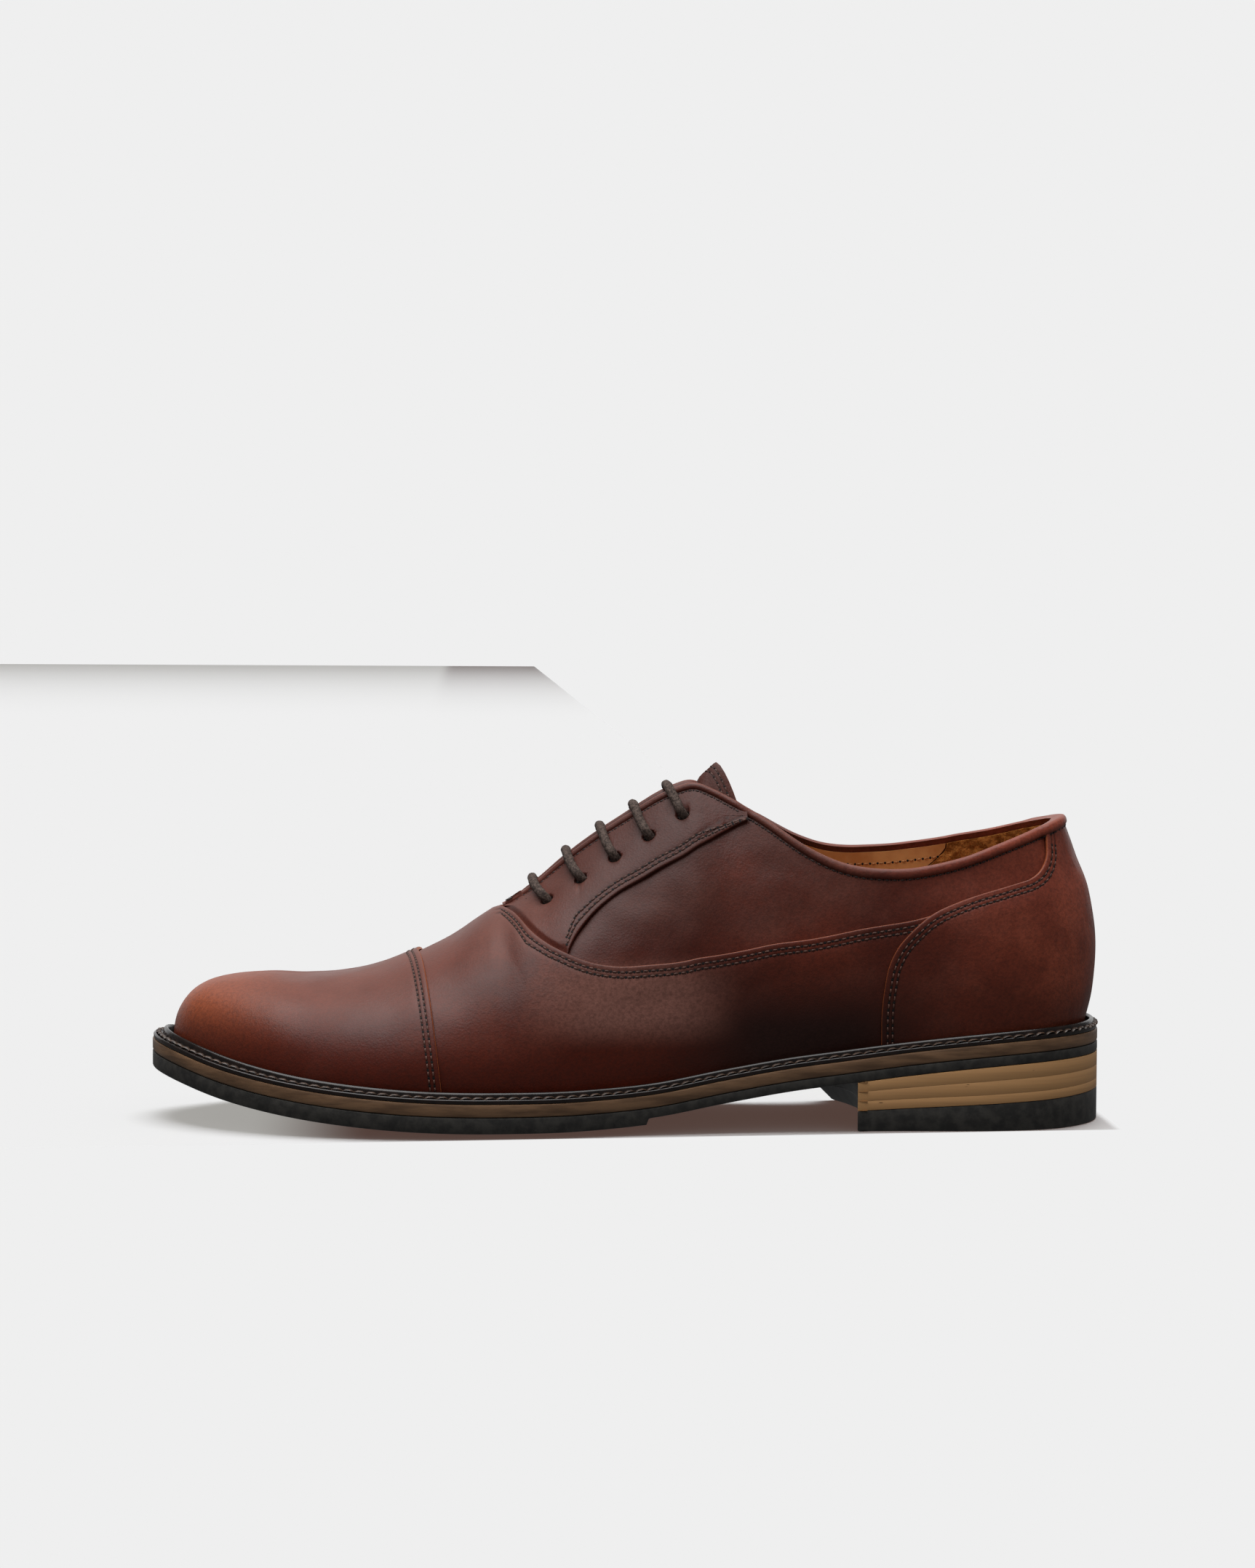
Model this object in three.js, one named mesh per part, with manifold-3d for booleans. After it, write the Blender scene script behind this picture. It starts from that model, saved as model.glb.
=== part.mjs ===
// Leather oxford shoe, a left shoe, as an assembly of its separate pieces.
// Units are millimetres. The toe points to -X, the outer (lateral) side faces -Y and +Z is up.
// The origin is the middle of the footprint, on the ground.
//
// The upper is a stack of leather layers over one reference surface, the outside of the vamp.
// That surface is made of ribs: a rib starts on the feather line (where upper and sole meet) and
// ends on the top line, which is the ridge over the toes and then the edge of the opening.
// A place on the surface is (side, s, v): s runs along the shoe in millimetres, v runs up a rib.

import * as THREE from 'three';
import Module from 'manifold-3d';

const wasm = await Module();
wasm.setup();

// ---------------------------------------------------------------- driving dimensions
const LATERAL = -1;
const MEDIAL = 1;
const SIDES = [LATERAL, MEDIAL];
const GAP = 0.3;                       // clearance between pieces that touch in the real shoe

const TOE_ROUND = 25;                  // radius that spaces the ribs round the toe
const HEEL_CENTRE = 104;               // x of the upright line that the heel ribs fan about
const HEEL_REACH = 38;                 // millimetres of s for one radian of that fan
const FEATHER_LIFT = 0.6;              // height of the feather line over the midsole

// Layers of the upper, as distances from the reference surface along its normal.
const LAYER = {
  cap: [0.3, 1.2],
  vamp: [-0.9, 0],
  facing: [-1.1, -0.2],
  quarter: [-2.4, -1.5],
  puff: [-2.4, -0.1],
  stiffener: [-1.2, 0],
  eyelet: [-2.25, -1.65],
  lining: [-3.5, -2.8],
  tongue: [-8.6, -7.7],
  tongueLining: [-9.7, -8.9],
};
const UNDERLAP = 8;                    // hidden width of leather under a lapped seam

const MIDSOLE_THICKNESS = 4;
const OUTSOLE_THICKNESS = 5;           // tread plate under the forefoot
const WAIST_THICKNESS = 3.1;           // outsole behind the tread plate
const TREAD_END = 5;                   // x where the tread plate steps up to the waist
const CROWN = 1.9;                     // how much the middle of the tread hangs below its edges
const WELT_STRIP = 1.5;                // height of the flat of the welt over the midsole
const WELT_BEAD = 3.3;                 // height of the rolled edge against the upper

const BREAST = 70;                     // x of the front of the heel at its edges
const BREAST_HOLLOW = 7;               // how far the middle of the breast curves back
const TOP_LIFT_FRONT = 6.4;            // rubber top lift, thickness at the breast
const TOP_LIFT_BACK = 10.4;
const LOW_LIFT = 2.9;                  // thickness of the lowest leather lift

const EYELET_COUNT = 5;
const EYELET_HOLE = 1.9;               // radius
const EYELET_BORE = 2.1;
const EYELET_RIM = 3.4;
const LACE_RADIUS = 1.35;
const THREAD_RADIUS = 0.45;

const COLOUR = {
  upper: 0x6b3428, lining: 0xb07a48, suede: 0xb5723a, board: 0x9a7a58, rubber: 0x24221f,
  midsole: 0x5a4434, welt: 0x2e1a12, stack: 0x8c6a48, thread: 0x3a241b, lace: 0x3b302c,
  steel: 0x9a9a98, brass: 0x7c6a48, cork: 0xa98558, plastic: 0x2b2420,
};

// ---------------------------------------------------------------- curves
/** Smooth curve through rows [t, value] or [t, x, y]; returns t => value or point. */
function spline(rows) {
  const t = rows.map((row) => row[0]);
  const p = rows.map((row) => row.slice(1));
  const size = p[0].length;
  const last = t.length - 1;
  const slope = (i, k) => (p[i + 1][k] - p[i][k]) / (t[i + 1] - t[i]);
  const tangent = (i, k) => {
    if (i === 0) return slope(0, k);
    if (i === last) return slope(last - 1, k);
    const before = t[i] - t[i - 1];
    const after = t[i + 1] - t[i];
    return (slope(i - 1, k) * after + slope(i, k) * before) / (before + after);
  };
  return (at) => {
    const x = Math.min(Math.max(at, t[0]), t[last]);
    let i = 0;
    while (i < last - 1 && x > t[i + 1]) i += 1;
    const h = t[i + 1] - t[i];
    const a = (x - t[i]) / h;
    const value = [];
    for (let k = 0; k < size; k += 1) {
      const m0 = tangent(i, k) * h;
      const m1 = tangent(i + 1, k) * h;
      const d = p[i + 1][k] - p[i][k];
      value.push(p[i][k] + a * (m0 + a * (3 * d - 2 * m0 - m1 + a * (m0 + m1 - 2 * d))));
    }
    return size === 1 ? value[0] : value;
  };
}

const mix = (a, b, t) => a + (b - a) * t;
const range = (count) => Array.from({ length: count }, (_, i) => i);
const steps = (count) => range(count + 1).map((i) => i / count);

/** Closed curve through plan points, as many short chords; control point i is entry i * fine. */
function closedOutline(points, fine) {
  const count = points.length;
  const rows = [];
  let t = 0;
  for (let i = -3; i <= count + 3; i += 1) {
    const here = points[(i + count) % count];
    if (i > -3) {
      const before = points[(i - 1 + count) % count];
      t += Math.sqrt(Math.hypot(here[0] - before[0], here[1] - before[1]));
    }
    rows.push([t, ...here]);
  }
  const curve = spline(rows);
  const dense = [];
  for (let i = 0; i < count; i += 1) {
    const [from, to] = [rows[i + 3][0], rows[i + 4][0]];
    for (let j = 0; j < fine; j += 1) dense.push(curve(mix(from, to, j / fine)));
  }
  return dense;
}

/** The outline moved inwards by distance(x, side). */
function inset(outline, distance) {
  const count = outline.length;
  return outline.map(([x, y], i) => {
    const [ax, ay] = outline[(i - 1 + count) % count];
    const [bx, by] = outline[(i + 1) % count];
    const length = Math.hypot(bx - ax, by - ay);
    const d = distance(x, y);
    return [x - ((by - ay) / length) * d, y + ((bx - ax) / length) * d];
  });
}

// ---------------------------------------------------------------- sole outline and levels
const HEEL_ARC = { x: 114.6, y: 0, r: 35.6 };
const onHeel = (degrees, side) => {
  const a = THREE.MathUtils.degToRad(degrees);
  return [HEEL_ARC.x + HEEL_ARC.r * Math.cos(a), HEEL_ARC.y + side * HEEL_ARC.r * Math.sin(a)];
};
const SOLE_POINTS = [
  [-150.2, 8], [-146.9, -6.5], [-134.5, -23], [-112, -39], [-80, -49.8], [-50, -51.8], [-25, -49.5],
  [5, -43], [40, -37.5], [80, -35.5], onHeel(90, LATERAL), onHeel(60, LATERAL), onHeel(30, LATERAL),
  onHeel(0, LATERAL), onHeel(30, MEDIAL), onHeel(60, MEDIAL), onHeel(90, MEDIAL),
  [80, 34.5], [45, 30], [10, 32.5], [-25, 43], [-55, 50.6], [-75, 51.7], [-98, 48.5], [-121.5, 39.5],
  [-139, 27], [-147.9, 17],
];
const FINE = 12;
const HEEL_INDEX = 13 * FINE;
const soleEdge = closedOutline(SOLE_POINTS, FINE);

/** How far the reference surface stands in from the sole's edge: widest at the toe. */
const featherInset = spline([
  [-150, 7.6], [-132, 8.2], [-100, 7.6], [-40, 7.2], [20, 6.3], [80, 6.4], [152, 5.6],
]);
const featherEdge = inset(soleEdge, featherInset);

/** The two halves of an outline, each from the toe to the back of the heel. */
function halves(outline) {
  return {
    [LATERAL]: outline.slice(0, HEEL_INDEX + 1),
    [MEDIAL]: [outline[0], ...outline.slice(HEEL_INDEX).reverse()],
  };
}
const feather = halves(featherEdge);
const TOE_X = featherEdge[0][0];
const TOE_Y = featherEdge[0][1];

/** Top of the midsole: toe spring, the ball on the ground, the arch and the heel seat. */
const midsoleTop = spline([
  [-151, 24.9], [-144, 23.1], [-127, 18.6], [-104, 14.5], [-82, 12.2], [-60, 10.9], [-38, 10.6],
  [-15, 10.9], [7, 12.5], [29, 16.3], [52, 20], [64, 21.5], [86, 24.3], [108, 26.7], [131, 28.4],
  [152, 29],
]);

// ---------------------------------------------------------------- the reference surface
const FORE_LENGTH = Math.sqrt((HEEL_CENTRE - TOE_X + TOE_ROUND) ** 2 - TOE_ROUND ** 2);
const END = FORE_LENGTH + (HEEL_REACH * Math.PI) / 2;

/** s of the rib that stands at x, for x ahead of the heel's centre. */
const stationOf = (x) => Math.sqrt(Math.max((x - TOE_X + TOE_ROUND) ** 2 - TOE_ROUND ** 2, 0));
const xOf = (s) => TOE_X + Math.sqrt(s * s + TOE_ROUND ** 2) - TOE_ROUND;

/** s of a plan point on the given side. */
function stationOfPoint([x, y], side) {
  if (x <= HEEL_CENTRE) return stationOf(x);
  return FORE_LENGTH + HEEL_REACH * Math.atan2(x - HEEL_CENTRE, side * y);
}

/** Distance from the middle plane, or from the heel's centre, to the feather line. */
const featherRadius = {};
for (const side of SIDES) {
  const rows = feather[side].map(([x, y]) => {
    const r = x <= HEEL_CENTRE ? side * y : Math.hypot(x - HEEL_CENTRE, y);
    return [stationOfPoint([x, y], side), r];
  });
  rows[rows.length - 1][0] = END;
  featherRadius[side] = (s) => {
    let i = 0;
    while (i < rows.length - 2 && s > rows[i + 1][0]) i += 1;
    const t = (s - rows[i][0]) / (rows[i + 1][0] - rows[i][0]);
    return mix(rows[i][1], rows[i + 1][1], t);
  };
}

const THROAT_X = -40.3;                // x where the facings meet at the front of the lacing
const APEX_X = 20.4;                   // x of the highest point of the opening's edge
const ridgeY = spline([[TOE_X, TOE_Y], [-110, 6.5], [-60, 4.5], [0, 2.5], [60, 0], [104, 0]]);
const halfGap = spline([
  [THROAT_X, 0], [-36, 2.2], [-25, 4.6], [0, 7], [15, 8.8], [APEX_X, 10], [31.5, 13.5], [42, 18.5],
  [49, 22], [56.5, 24.5], [64, 26.4], [72, 27.6], [86, 28], [94, 27.6], [104, 26.3],
]);
const ridgeZ = spline([
  [0, midsoleTop(TOE_X) + FEATHER_LIFT], [6, 30.2], [11, 34.2], [17.5, 38.2], [25, 41.2], [34, 43.1],
  [47, 44], [62, 43.6], [78, 45], [86, 46.9], [94, 49.8], [102, 53.4], [110, 57.5], [117, 62.2],
  [123.5, 66.4],
]);
const openingZ = spline([
  [THROAT_X, 66.4], [-36.6, 68.2], [-29.6, 73.2], [-20, 81.2], [-9, 89.4], [0, 95.2], [10.3, 101.6],
  [15.7, 104], [APEX_X, 105.2], [26, 103.4], [31.5, 100.6], [42, 94.6], [49, 89.7], [56.5, 84.9], [64, 81.4],
  [72, 79.4], [79, 78.8], [86.4, 78.9], [94, 80], [102, 81.8], [110, 84.3], [118, 87.1], [128, 90.6],
  [139, 94.8],
]);
const medialRise = spline([[42, 0], [60, 2.2], [86, 4.4], [104, 3.4], [120, 1.2], [136, 0]]);
const heelTopRadius = spline([[0, 26.3], [30, 26], [60, 29.6], [90, 33.8]]);

// Shape of a rib: how upright it leaves the sole, how steep it meets the top, how full it is.
const leanOut = spline([[0, 0], [30, 8], [80, 16], [140, 12], [200, 5], [250, 8], [290, 13], [END, 16]]);
const topSlope = spline([
  [0, 0], [stationOf(THROAT_X), 0], [stationOf(-36), 12], [stationOf(-20), 28], [stationOf(0), 40],
  [stationOf(20), 50], [stationOf(42), 62], [stationOf(64), 74], [stationOf(86), 80],
  [FORE_LENGTH, 80], [END, 70],
]);
const lowFullness = spline([[0, 0.5], [30, 0.62], [90, 0.56], [140, 0.46], [200, 0.4], [END, 0.4]]);
const highFullness = spline([[0, 0.6], [30, 0.64], [90, 0.58], [140, 0.5], [200, 0.4], [END, 0.4]]);

const ribs = new Map();
/** The four control points of the rib at s, in the rib's own upright plane. */
function rib(side, s) {
  const key = `${side}:${s.toFixed(4)}`;
  if (ribs.has(key)) return ribs.get(key);
  const fan = Math.max(s - FORE_LENGTH, 0) / HEEL_REACH;
  const x = s < FORE_LENGTH ? xOf(s) : HEEL_CENTRE;
  const out = [Math.sin(fan), side * Math.cos(fan)];
  const low = featherRadius[side](s);
  const lowZ = midsoleTop(x + out[0] * low) + FEATHER_LIFT;
  let high = side * ridgeY(x) + halfGap(x);
  if (s > FORE_LENGTH) high = heelTopRadius(THREE.MathUtils.radToDeg(fan));
  const topX = x + out[0] * high;
  let highZ = x < THROAT_X ? ridgeZ(s) : openingZ(topX);
  if (side === MEDIAL) highZ += medialRise(topX);
  const lean = THREE.MathUtils.degToRad(leanOut(s));
  const slope = THREE.MathUtils.degToRad(topSlope(s));
  const rise = (highZ - lowZ) * lowFullness(s);
  const span = Math.abs(low - high) * Math.cos(slope) + (highZ - lowZ) * Math.sin(slope);
  const reach = span * highFullness(s);
  const made = {
    x, out,
    r: [low, low + rise * Math.tan(lean), high + reach * Math.cos(slope), high],
    z: [lowZ, lowZ + rise, highZ - reach * Math.sin(slope), highZ],
  };
  ribs.set(key, made);
  return made;
}

/** Point of the reference surface. */
function surface(side, s, v) {
  const { x, out, r, z } = rib(side, s);
  const u = 1 - v;
  const w = [u * u * u, 3 * u * u * v, 3 * u * v * v, v * v * v];
  const radius = w[0] * r[0] + w[1] * r[1] + w[2] * r[2] + w[3] * r[3];
  const height = w[0] * z[0] + w[1] * z[1] + w[2] * z[2] + w[3] * z[3];
  return new THREE.Vector3(x + out[0] * radius, out[1] * radius, height);
}

/** Outward normal of the reference surface. */
function normal(side, s, v) {
  const here = Math.max(s, 1.5);
  const step = 0.4;
  const s0 = Math.max(here - step, 0.3);
  const s1 = Math.min(here + step, END);
  const v0 = Math.max(v - 0.01, 0);
  const v1 = Math.min(v + 0.01, 1);
  const alongS = surface(side, s1, v).sub(surface(side, s0, v));
  const alongV = surface(side, here, v1).sub(surface(side, here, v0));
  const n = alongS.cross(alongV).normalize();
  return side === LATERAL ? n : n.negate();
}

function onSurface(side, s, v, offset) {
  return surface(side, s, v).addScaledVector(normal(side, s, v), offset);
}

// ---------------------------------------------------------------- seam lines on the surface
/** v on the rib at s where the surface reaches height z. */
function heightToV(side, s, z) {
  let low = 0;
  let high = 1;
  for (let i = 0; i < 24; i += 1) {
    const v = (low + high) / 2;
    if (surface(side, s, v).z < z) low = v;
    else high = v;
  }
  return (low + high) / 2;
}

/** [s, v] of the place that is seen at (x, z) from the side. */
function locate(side, x, z) {
  let low = 0;
  let high = END;
  for (let i = 0; i < 24; i += 1) {
    const s = (low + high) / 2;
    if (surface(side, s, heightToV(side, s, z)).x < x) low = s;
    else high = s;
  }
  const s = (low + high) / 2;
  return [s, heightToV(side, s, z)];
}

/** A seam as a dense list of [s, v], through places given as [x, z]. */
function seam(side, places) {
  const rows = [];
  let t = 0;
  places.forEach(([x, z], i) => {
    if (i > 0) t += Math.hypot(x - places[i - 1][0], z - places[i - 1][1]);
    rows.push([t, ...locate(side, x, z)]);
  });
  const curve = spline(rows);
  return range(81).map((i) => curve((t * i) / 80));
}

/** s on a seam where level(s, v) first reaches the wanted value. */
function crossing(line, level, wanted) {
  for (let i = 1; i < line.length; i += 1) {
    const a = level(...line[i - 1]) - wanted;
    const b = level(...line[i]) - wanted;
    if (a <= 0 && b >= 0 && b > a) return mix(line[i - 1][0], line[i][0], -a / (b - a));
  }
  const first = Math.abs(level(...line[0]) - wanted);
  const final = Math.abs(level(...line[line.length - 1]) - wanted);
  return first < final ? line[0][0] : line[line.length - 1][0];
}

/** v on a seam at s. */
function seamV(line, s) {
  let i = 1;
  while (i < line.length - 1 && line[i][0] < s) i += 1;
  const t = THREE.MathUtils.clamp((s - line[i - 1][0]) / (line[i][0] - line[i - 1][0]), 0, 1);
  return mix(line[i - 1][1], line[i][1], t);
}

const VAMP_PLACES = [
  [-36, 65.6], [-31.4, 61.6], [-26, 57.8], [-20, 55], [-12.8, 52.4], [-5, 51.2], [3, 51.4], [19, 53.2],
  [35, 55.7], [50, 58.4], [71, 62.2], [93, 66.4],
];
const FACING_PLACES = [
  [-20, 55], [-17.5, 60], [-12.8, 66], [-5, 72.6], [7, 79.6], [19, 86.2], [38, 95.8],
];
const COUNTER_PLACES = [
  [77.8, 26.7], [77.8, 37], [78.6, 44.4], [79.8, 50.5], [82.6, 56.4], [87.1, 61.5], [93, 66.4],
  [100.8, 70.1], [108.6, 72.8], [116.9, 74.9], [123.5, 76.6], [128.5, 79.5], [131, 83.5], [131.5, 89.5],
];
const vampSeam = {};
const facingSeam = {};
const counterSeam = {};
for (const side of SIDES) {
  vampSeam[side] = [[stationOf(THROAT_X), 1], ...seam(side, VAMP_PLACES)];
  facingSeam[side] = seam(side, FACING_PLACES);
  counterSeam[side] = seam(side, COUNTER_PLACES);
}
const capX = (v) => -66 + 8 * (1 - v);
const THROAT_S = stationOf(THROAT_X);
const CORNER_S = stationOf(VAMP_PLACES[3][0]);   // s where vamp, facing and quarter meet

/** Top of the vamp on the rib at s. */
const vampTop = (side, s) => (s <= THROAT_S ? 1 : seamV(vampSeam[side], s));

/** s of the counter's front edge at v. */
const counterFront = (side, v) => crossing(counterSeam[side], (s, w) => w, v);

// ---------------------------------------------------------------- solids
const group = new THREE.Group();
group.name = 'leather_oxford_shoe';
const solids = new Map();

function material(colour, roughness = 0.6, metalness = 0) {
  return new THREE.MeshStandardMaterial({ color: COLOUR[colour], roughness, metalness });
}

function addMesh(name, positions, triangles, look) {
  const geometry = new THREE.BufferGeometry();
  geometry.setAttribute('position', new THREE.BufferAttribute(new Float32Array(positions), 3));
  geometry.setIndex(triangles);
  geometry.computeVertexNormals();
  const mesh = new THREE.Mesh(geometry, look);
  mesh.name = name;
  solids.set(name, mesh);
  group.add(mesh);
  return mesh;
}

/** A closed solid from an open net of vertices {low, high}; a boundary edge gets a side wall. */
function addShell(name, nets, look) {
  const index = new Map();
  const vertices = [];
  const idOf = (vertex) => {
    const key = vertex.key.map((value) => Math.round(value * 500)).join();
    if (!index.has(key)) {
      index.set(key, vertices.length);
      vertices.push(vertex);
    }
    return index.get(key);
  };
  const faces = [];
  const addFace = (a, b, c) => {
    if (a === b || b === c || c === a) return;
    const [pa, pb, pc] = [a, b, c].map((i) => vertices[i].high);
    const n = pb.clone().sub(pa).cross(pc.clone().sub(pa));
    const out = pa.clone().add(pb).add(pc);
    for (const i of [a, b, c]) out.sub(vertices[i].low);
    faces.push(n.dot(out) > 0 ? [a, b, c] : [a, c, b]);
  };
  for (const net of nets) {
    const ids = net.map((row) => row.map(idOf));
    for (let i = 0; i + 1 < ids.length; i += 1) {
      for (let j = 0; j + 1 < ids[i].length; j += 1) {
        addFace(ids[i][j], ids[i + 1][j], ids[i + 1][j + 1]);
        addFace(ids[i][j], ids[i + 1][j + 1], ids[i][j + 1]);
      }
    }
  }
  const count = vertices.length;
  const edges = new Map();
  for (const face of faces) {
    face.forEach((a, k) => {
      const b = face[(k + 1) % 3];
      edges.set(`${a}_${b}`, [a, b]);
    });
  }
  const triangles = [];
  for (const [a, b, c] of faces) triangles.push(a, b, c, a + count, c + count, b + count);
  for (const [a, b] of edges.values()) {
    if (!edges.has(`${b}_${a}`)) triangles.push(b, a, a + count, b, a + count, b + count);
  }
  const positions = [];
  for (const { high } of vertices) positions.push(high.x, high.y, high.z);
  for (const { low } of vertices) positions.push(low.x, low.y, low.z);
  return addMesh(name, positions, triangles, look);
}

/** A net of the upper between two offsets; place(p, q) gives [s, v]. */
function leatherNet(side, columns, rows, place, [low, high]) {
  return columns.map((p) => rows.map((q) => {
    const [s, v] = place(p, q);
    const base = surface(side, s, v);
    return { key: base.toArray(), low: onSurface(side, s, v, low), high: onSurface(side, s, v, high) };
  }));
}

/** A closed body swept along stations; section(i) gives its ring of points. */
function addSweep(name, rings, closed, look) {
  const size = rings[0].length;
  const positions = rings.flat().flatMap((p) => [p.x, p.y, p.z]);
  const triangles = [];
  const last = closed ? rings.length : rings.length - 1;
  for (let i = 0; i < last; i += 1) {
    for (let j = 0; j < size; j += 1) {
      const a = i * size + j;
      const b = i * size + ((j + 1) % size);
      const c = ((i + 1) % rings.length) * size + j;
      const d = ((i + 1) % rings.length) * size + ((j + 1) % size);
      triangles.push(a, b, d, a, d, c);
    }
  }
  if (!closed) {
    const end = (rings.length - 1) * size;
    for (let j = 1; j + 1 < size; j += 1) triangles.push(0, j + 1, j, end, end + j, end + j + 1);
  }
  let volume = 0;
  const at = (i) => new THREE.Vector3(...positions.slice(i * 3, i * 3 + 3));
  for (let i = 0; i < triangles.length; i += 3) {
    volume += at(triangles[i]).dot(at(triangles[i + 1]).cross(at(triangles[i + 2])));
  }
  if (volume < 0) triangles.reverse();
  return addMesh(name, positions, triangles, look);
}

/** Round rod along a list of points, with frames carried along the path. */
function addRod(name, path, radius, sideCount, closed, look) {
  const count = path.length;
  const tangentAt = (i) => {
    const before = closed ? path[(i - 1 + count) % count] : path[Math.max(i - 1, 0)];
    const after = closed ? path[(i + 1) % count] : path[Math.min(i + 1, count - 1)];
    return after.clone().sub(before).normalize();
  };
  let across = new THREE.Vector3(0, 0, 1);
  if (!closed) across = new THREE.Vector3(0.3, 0.4, 0.86);
  const rings = path.map((point, i) => {
    const tangent = tangentAt(i);
    if (closed) across = new THREE.Vector3(0, 0, 1);
    across = across.clone().addScaledVector(tangent, -across.dot(tangent)).normalize();
    const other = tangent.clone().cross(across);
    return range(sideCount).map((k) => {
      const a = (2 * Math.PI * k) / sideCount;
      const offset = across.clone().multiplyScalar(Math.cos(a)).addScaledVector(other, Math.sin(a));
      return point.clone().addScaledVector(offset, radius);
    });
  });
  return addSweep(name, rings, closed, look);
}

// ---------------------------------------------------------------- cutting
function toManifold(mesh) {
  const vertProperties = mesh.geometry.getAttribute('position').array.slice();
  const triVerts = Uint32Array.from(mesh.geometry.getIndex().array);
  return new wasm.Manifold(new wasm.Mesh({ numProp: 3, vertProperties, triVerts }));
}

/** Round cutter from one point to another. */
function drill(from, to, radius, sideCount = 10) {
  const axis = to.clone().sub(from).normalize();
  const across = new THREE.Vector3(0, 1, 0).cross(axis).normalize();
  const other = axis.clone().cross(across);
  const positions = [];
  for (const end of [from, to]) {
    for (const k of range(sideCount)) {
      const a = (2 * Math.PI * k) / sideCount;
      const offset = across.clone().multiplyScalar(Math.cos(a)).addScaledVector(other, Math.sin(a));
      positions.push(...end.clone().addScaledVector(offset, radius));
    }
  }
  const triangles = [];
  for (const k of range(sideCount)) {
    const next = (k + 1) % sideCount;
    triangles.push(k, next, next + sideCount, k, next + sideCount, k + sideCount);
  }
  for (let k = 1; k + 1 < sideCount; k += 1) {
    triangles.push(0, k + 1, k, sideCount, sideCount + k, sideCount + k + 1);
  }
  const cutter = new wasm.Mesh({
    numProp: 3, vertProperties: new Float32Array(positions), triVerts: Uint32Array.from(triangles),
  });
  return new wasm.Manifold(cutter);
}

function cut(name, cutters) {
  const mesh = solids.get(name);
  let body = toManifold(mesh);
  for (const cutter of cutters) body = body.subtract(cutter);
  const result = body.getMesh();
  const geometry = new THREE.BufferGeometry();
  const kept = new Float32Array(result.numVert * 3);
  for (let i = 0; i < result.numVert; i += 1) {
    for (let k = 0; k < 3; k += 1) kept[i * 3 + k] = result.vertProperties[i * result.numProp + k];
  }
  geometry.setAttribute('position', new THREE.BufferAttribute(kept, 3));
  geometry.setIndex(new THREE.BufferAttribute(Uint32Array.from(result.triVerts), 1));
  geometry.computeVertexNormals();
  mesh.geometry = geometry;
}

// ---------------------------------------------------------------- upper leather
const label = { [LATERAL]: 'lateral', [MEDIAL]: 'medial' };
const leather = () => material('upper', 0.42);

function makeToeCap() {
  const place = (p, q) => [p * stationOf(capX(q)), q];
  const nets = SIDES.map((side) => leatherNet(side, steps(11), steps(7), place, LAYER.cap));
  addShell('toe_cap', nets, leather());
}

function makeVamp() {
  const forepart = steps(5);
  const back = [0.012, 0.035, 0.07, 0.12, 0.18, 0.26, 0.36, 0.47, 0.58, 0.69, 0.8, 0.9, 1];
  const wing = back.map((t) => 1 + t);
  const nets = SIDES.map((side) => {
    const level = (s, v) => v / vampTop(side, s);
    const place = (p, q) => {
      if (p <= 1) return [mix(stationOf(capX(q)) - UNDERLAP, THROAT_S, p), q];
      const s = mix(THROAT_S, crossing(counterSeam[side], level, q) + UNDERLAP, p - 1);
      return [s, q * vampTop(side, s)];
    };
    return leatherNet(side, [...forepart, ...wing], steps(6), place, LAYER.vamp);
  });
  addShell('vamp', nets, leather());
}

const BUTT = 0.014;                    // v between the vamp's edge and the front of the facing
const FACING_COLUMNS = [-38.8, -37, -34.5, -31, -26, -20, -13, -5, 3, 11, 19, 25, 31, 36.8];

function makeFacing(side) {
  const place = (x, q) => {
    const s = stationOf(x);
    const overVamp = vampTop(side, s) + BUTT;
    const bottom = s < CORNER_S ? overVamp : Math.max(overVamp, seamV(facingSeam[side], s));
    return [s, mix(Math.min(bottom, 0.99), 1, q)];
  };
  const net = leatherNet(side, FACING_COLUMNS, steps(3), place, LAYER.facing);
  addShell(`facing_${label[side]}`, [net], leather());
}

const QUARTER_FRONT = -24;             // x of the hidden front end of the quarter
const FACING_BACK = 38;                // x where the facing's rear edge meets the top line
const BACK_SEAM = 1.6;                 // s between a quarter's rear edge and the middle of the heel
const QUARTER_UNDER = 0.07;            // v of the quarter hidden under the vamp and the facing

/** The quarter runs from under the facing to the back seam, above the vamp. */
function makeQuarter(side) {
  const place = (p, q) => {
    const s = mix(stationOf(QUARTER_FRONT), END - BACK_SEAM, p);
    const top = s < stationOf(FACING_BACK) ? seamV(facingSeam[side], s) + QUARTER_UNDER : 1;
    return [s, mix(vampTop(side, s) - QUARTER_UNDER, Math.min(top, 1), q)];
  };
  const net = leatherNet(side, steps(26), steps(5), place, LAYER.quarter);
  addShell(`quarter_${label[side]}`, [net], leather());
}

// Place where the counter's front edge turns to run back along its top.
const COUNTER_CORNER = { x: 87.2, z: 61.5 };

/** Outside counter: one piece round the heel, over the quarters and the ends of the vamp. */
function makeHeelCounter() {
  const nets = SIDES.map((side) => {
    const line = counterSeam[side];
    const cornerV = seamV(line, locate(side, COUNTER_CORNER.x, COUNTER_CORNER.z)[0]);
    const top = (s) => (s > line[line.length - 1][0] ? 1 : Math.max(seamV(line, s), cornerV));
    const place = (p, q) => {
      const s = mix(counterFront(side, q * cornerV), END, p);
      return [s, q * top(s)];
    };
    return leatherNet(side, steps(16), steps(7), place, LAYER.cap);
  });
  addShell('heel_counter_cover', nets, leather());
}

const BINDING_FRONT = 20;              // x of the ends of the binding, on the facings
const ON_COUNTER = 112;                // x from which the binding widens to take in the counter

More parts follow.
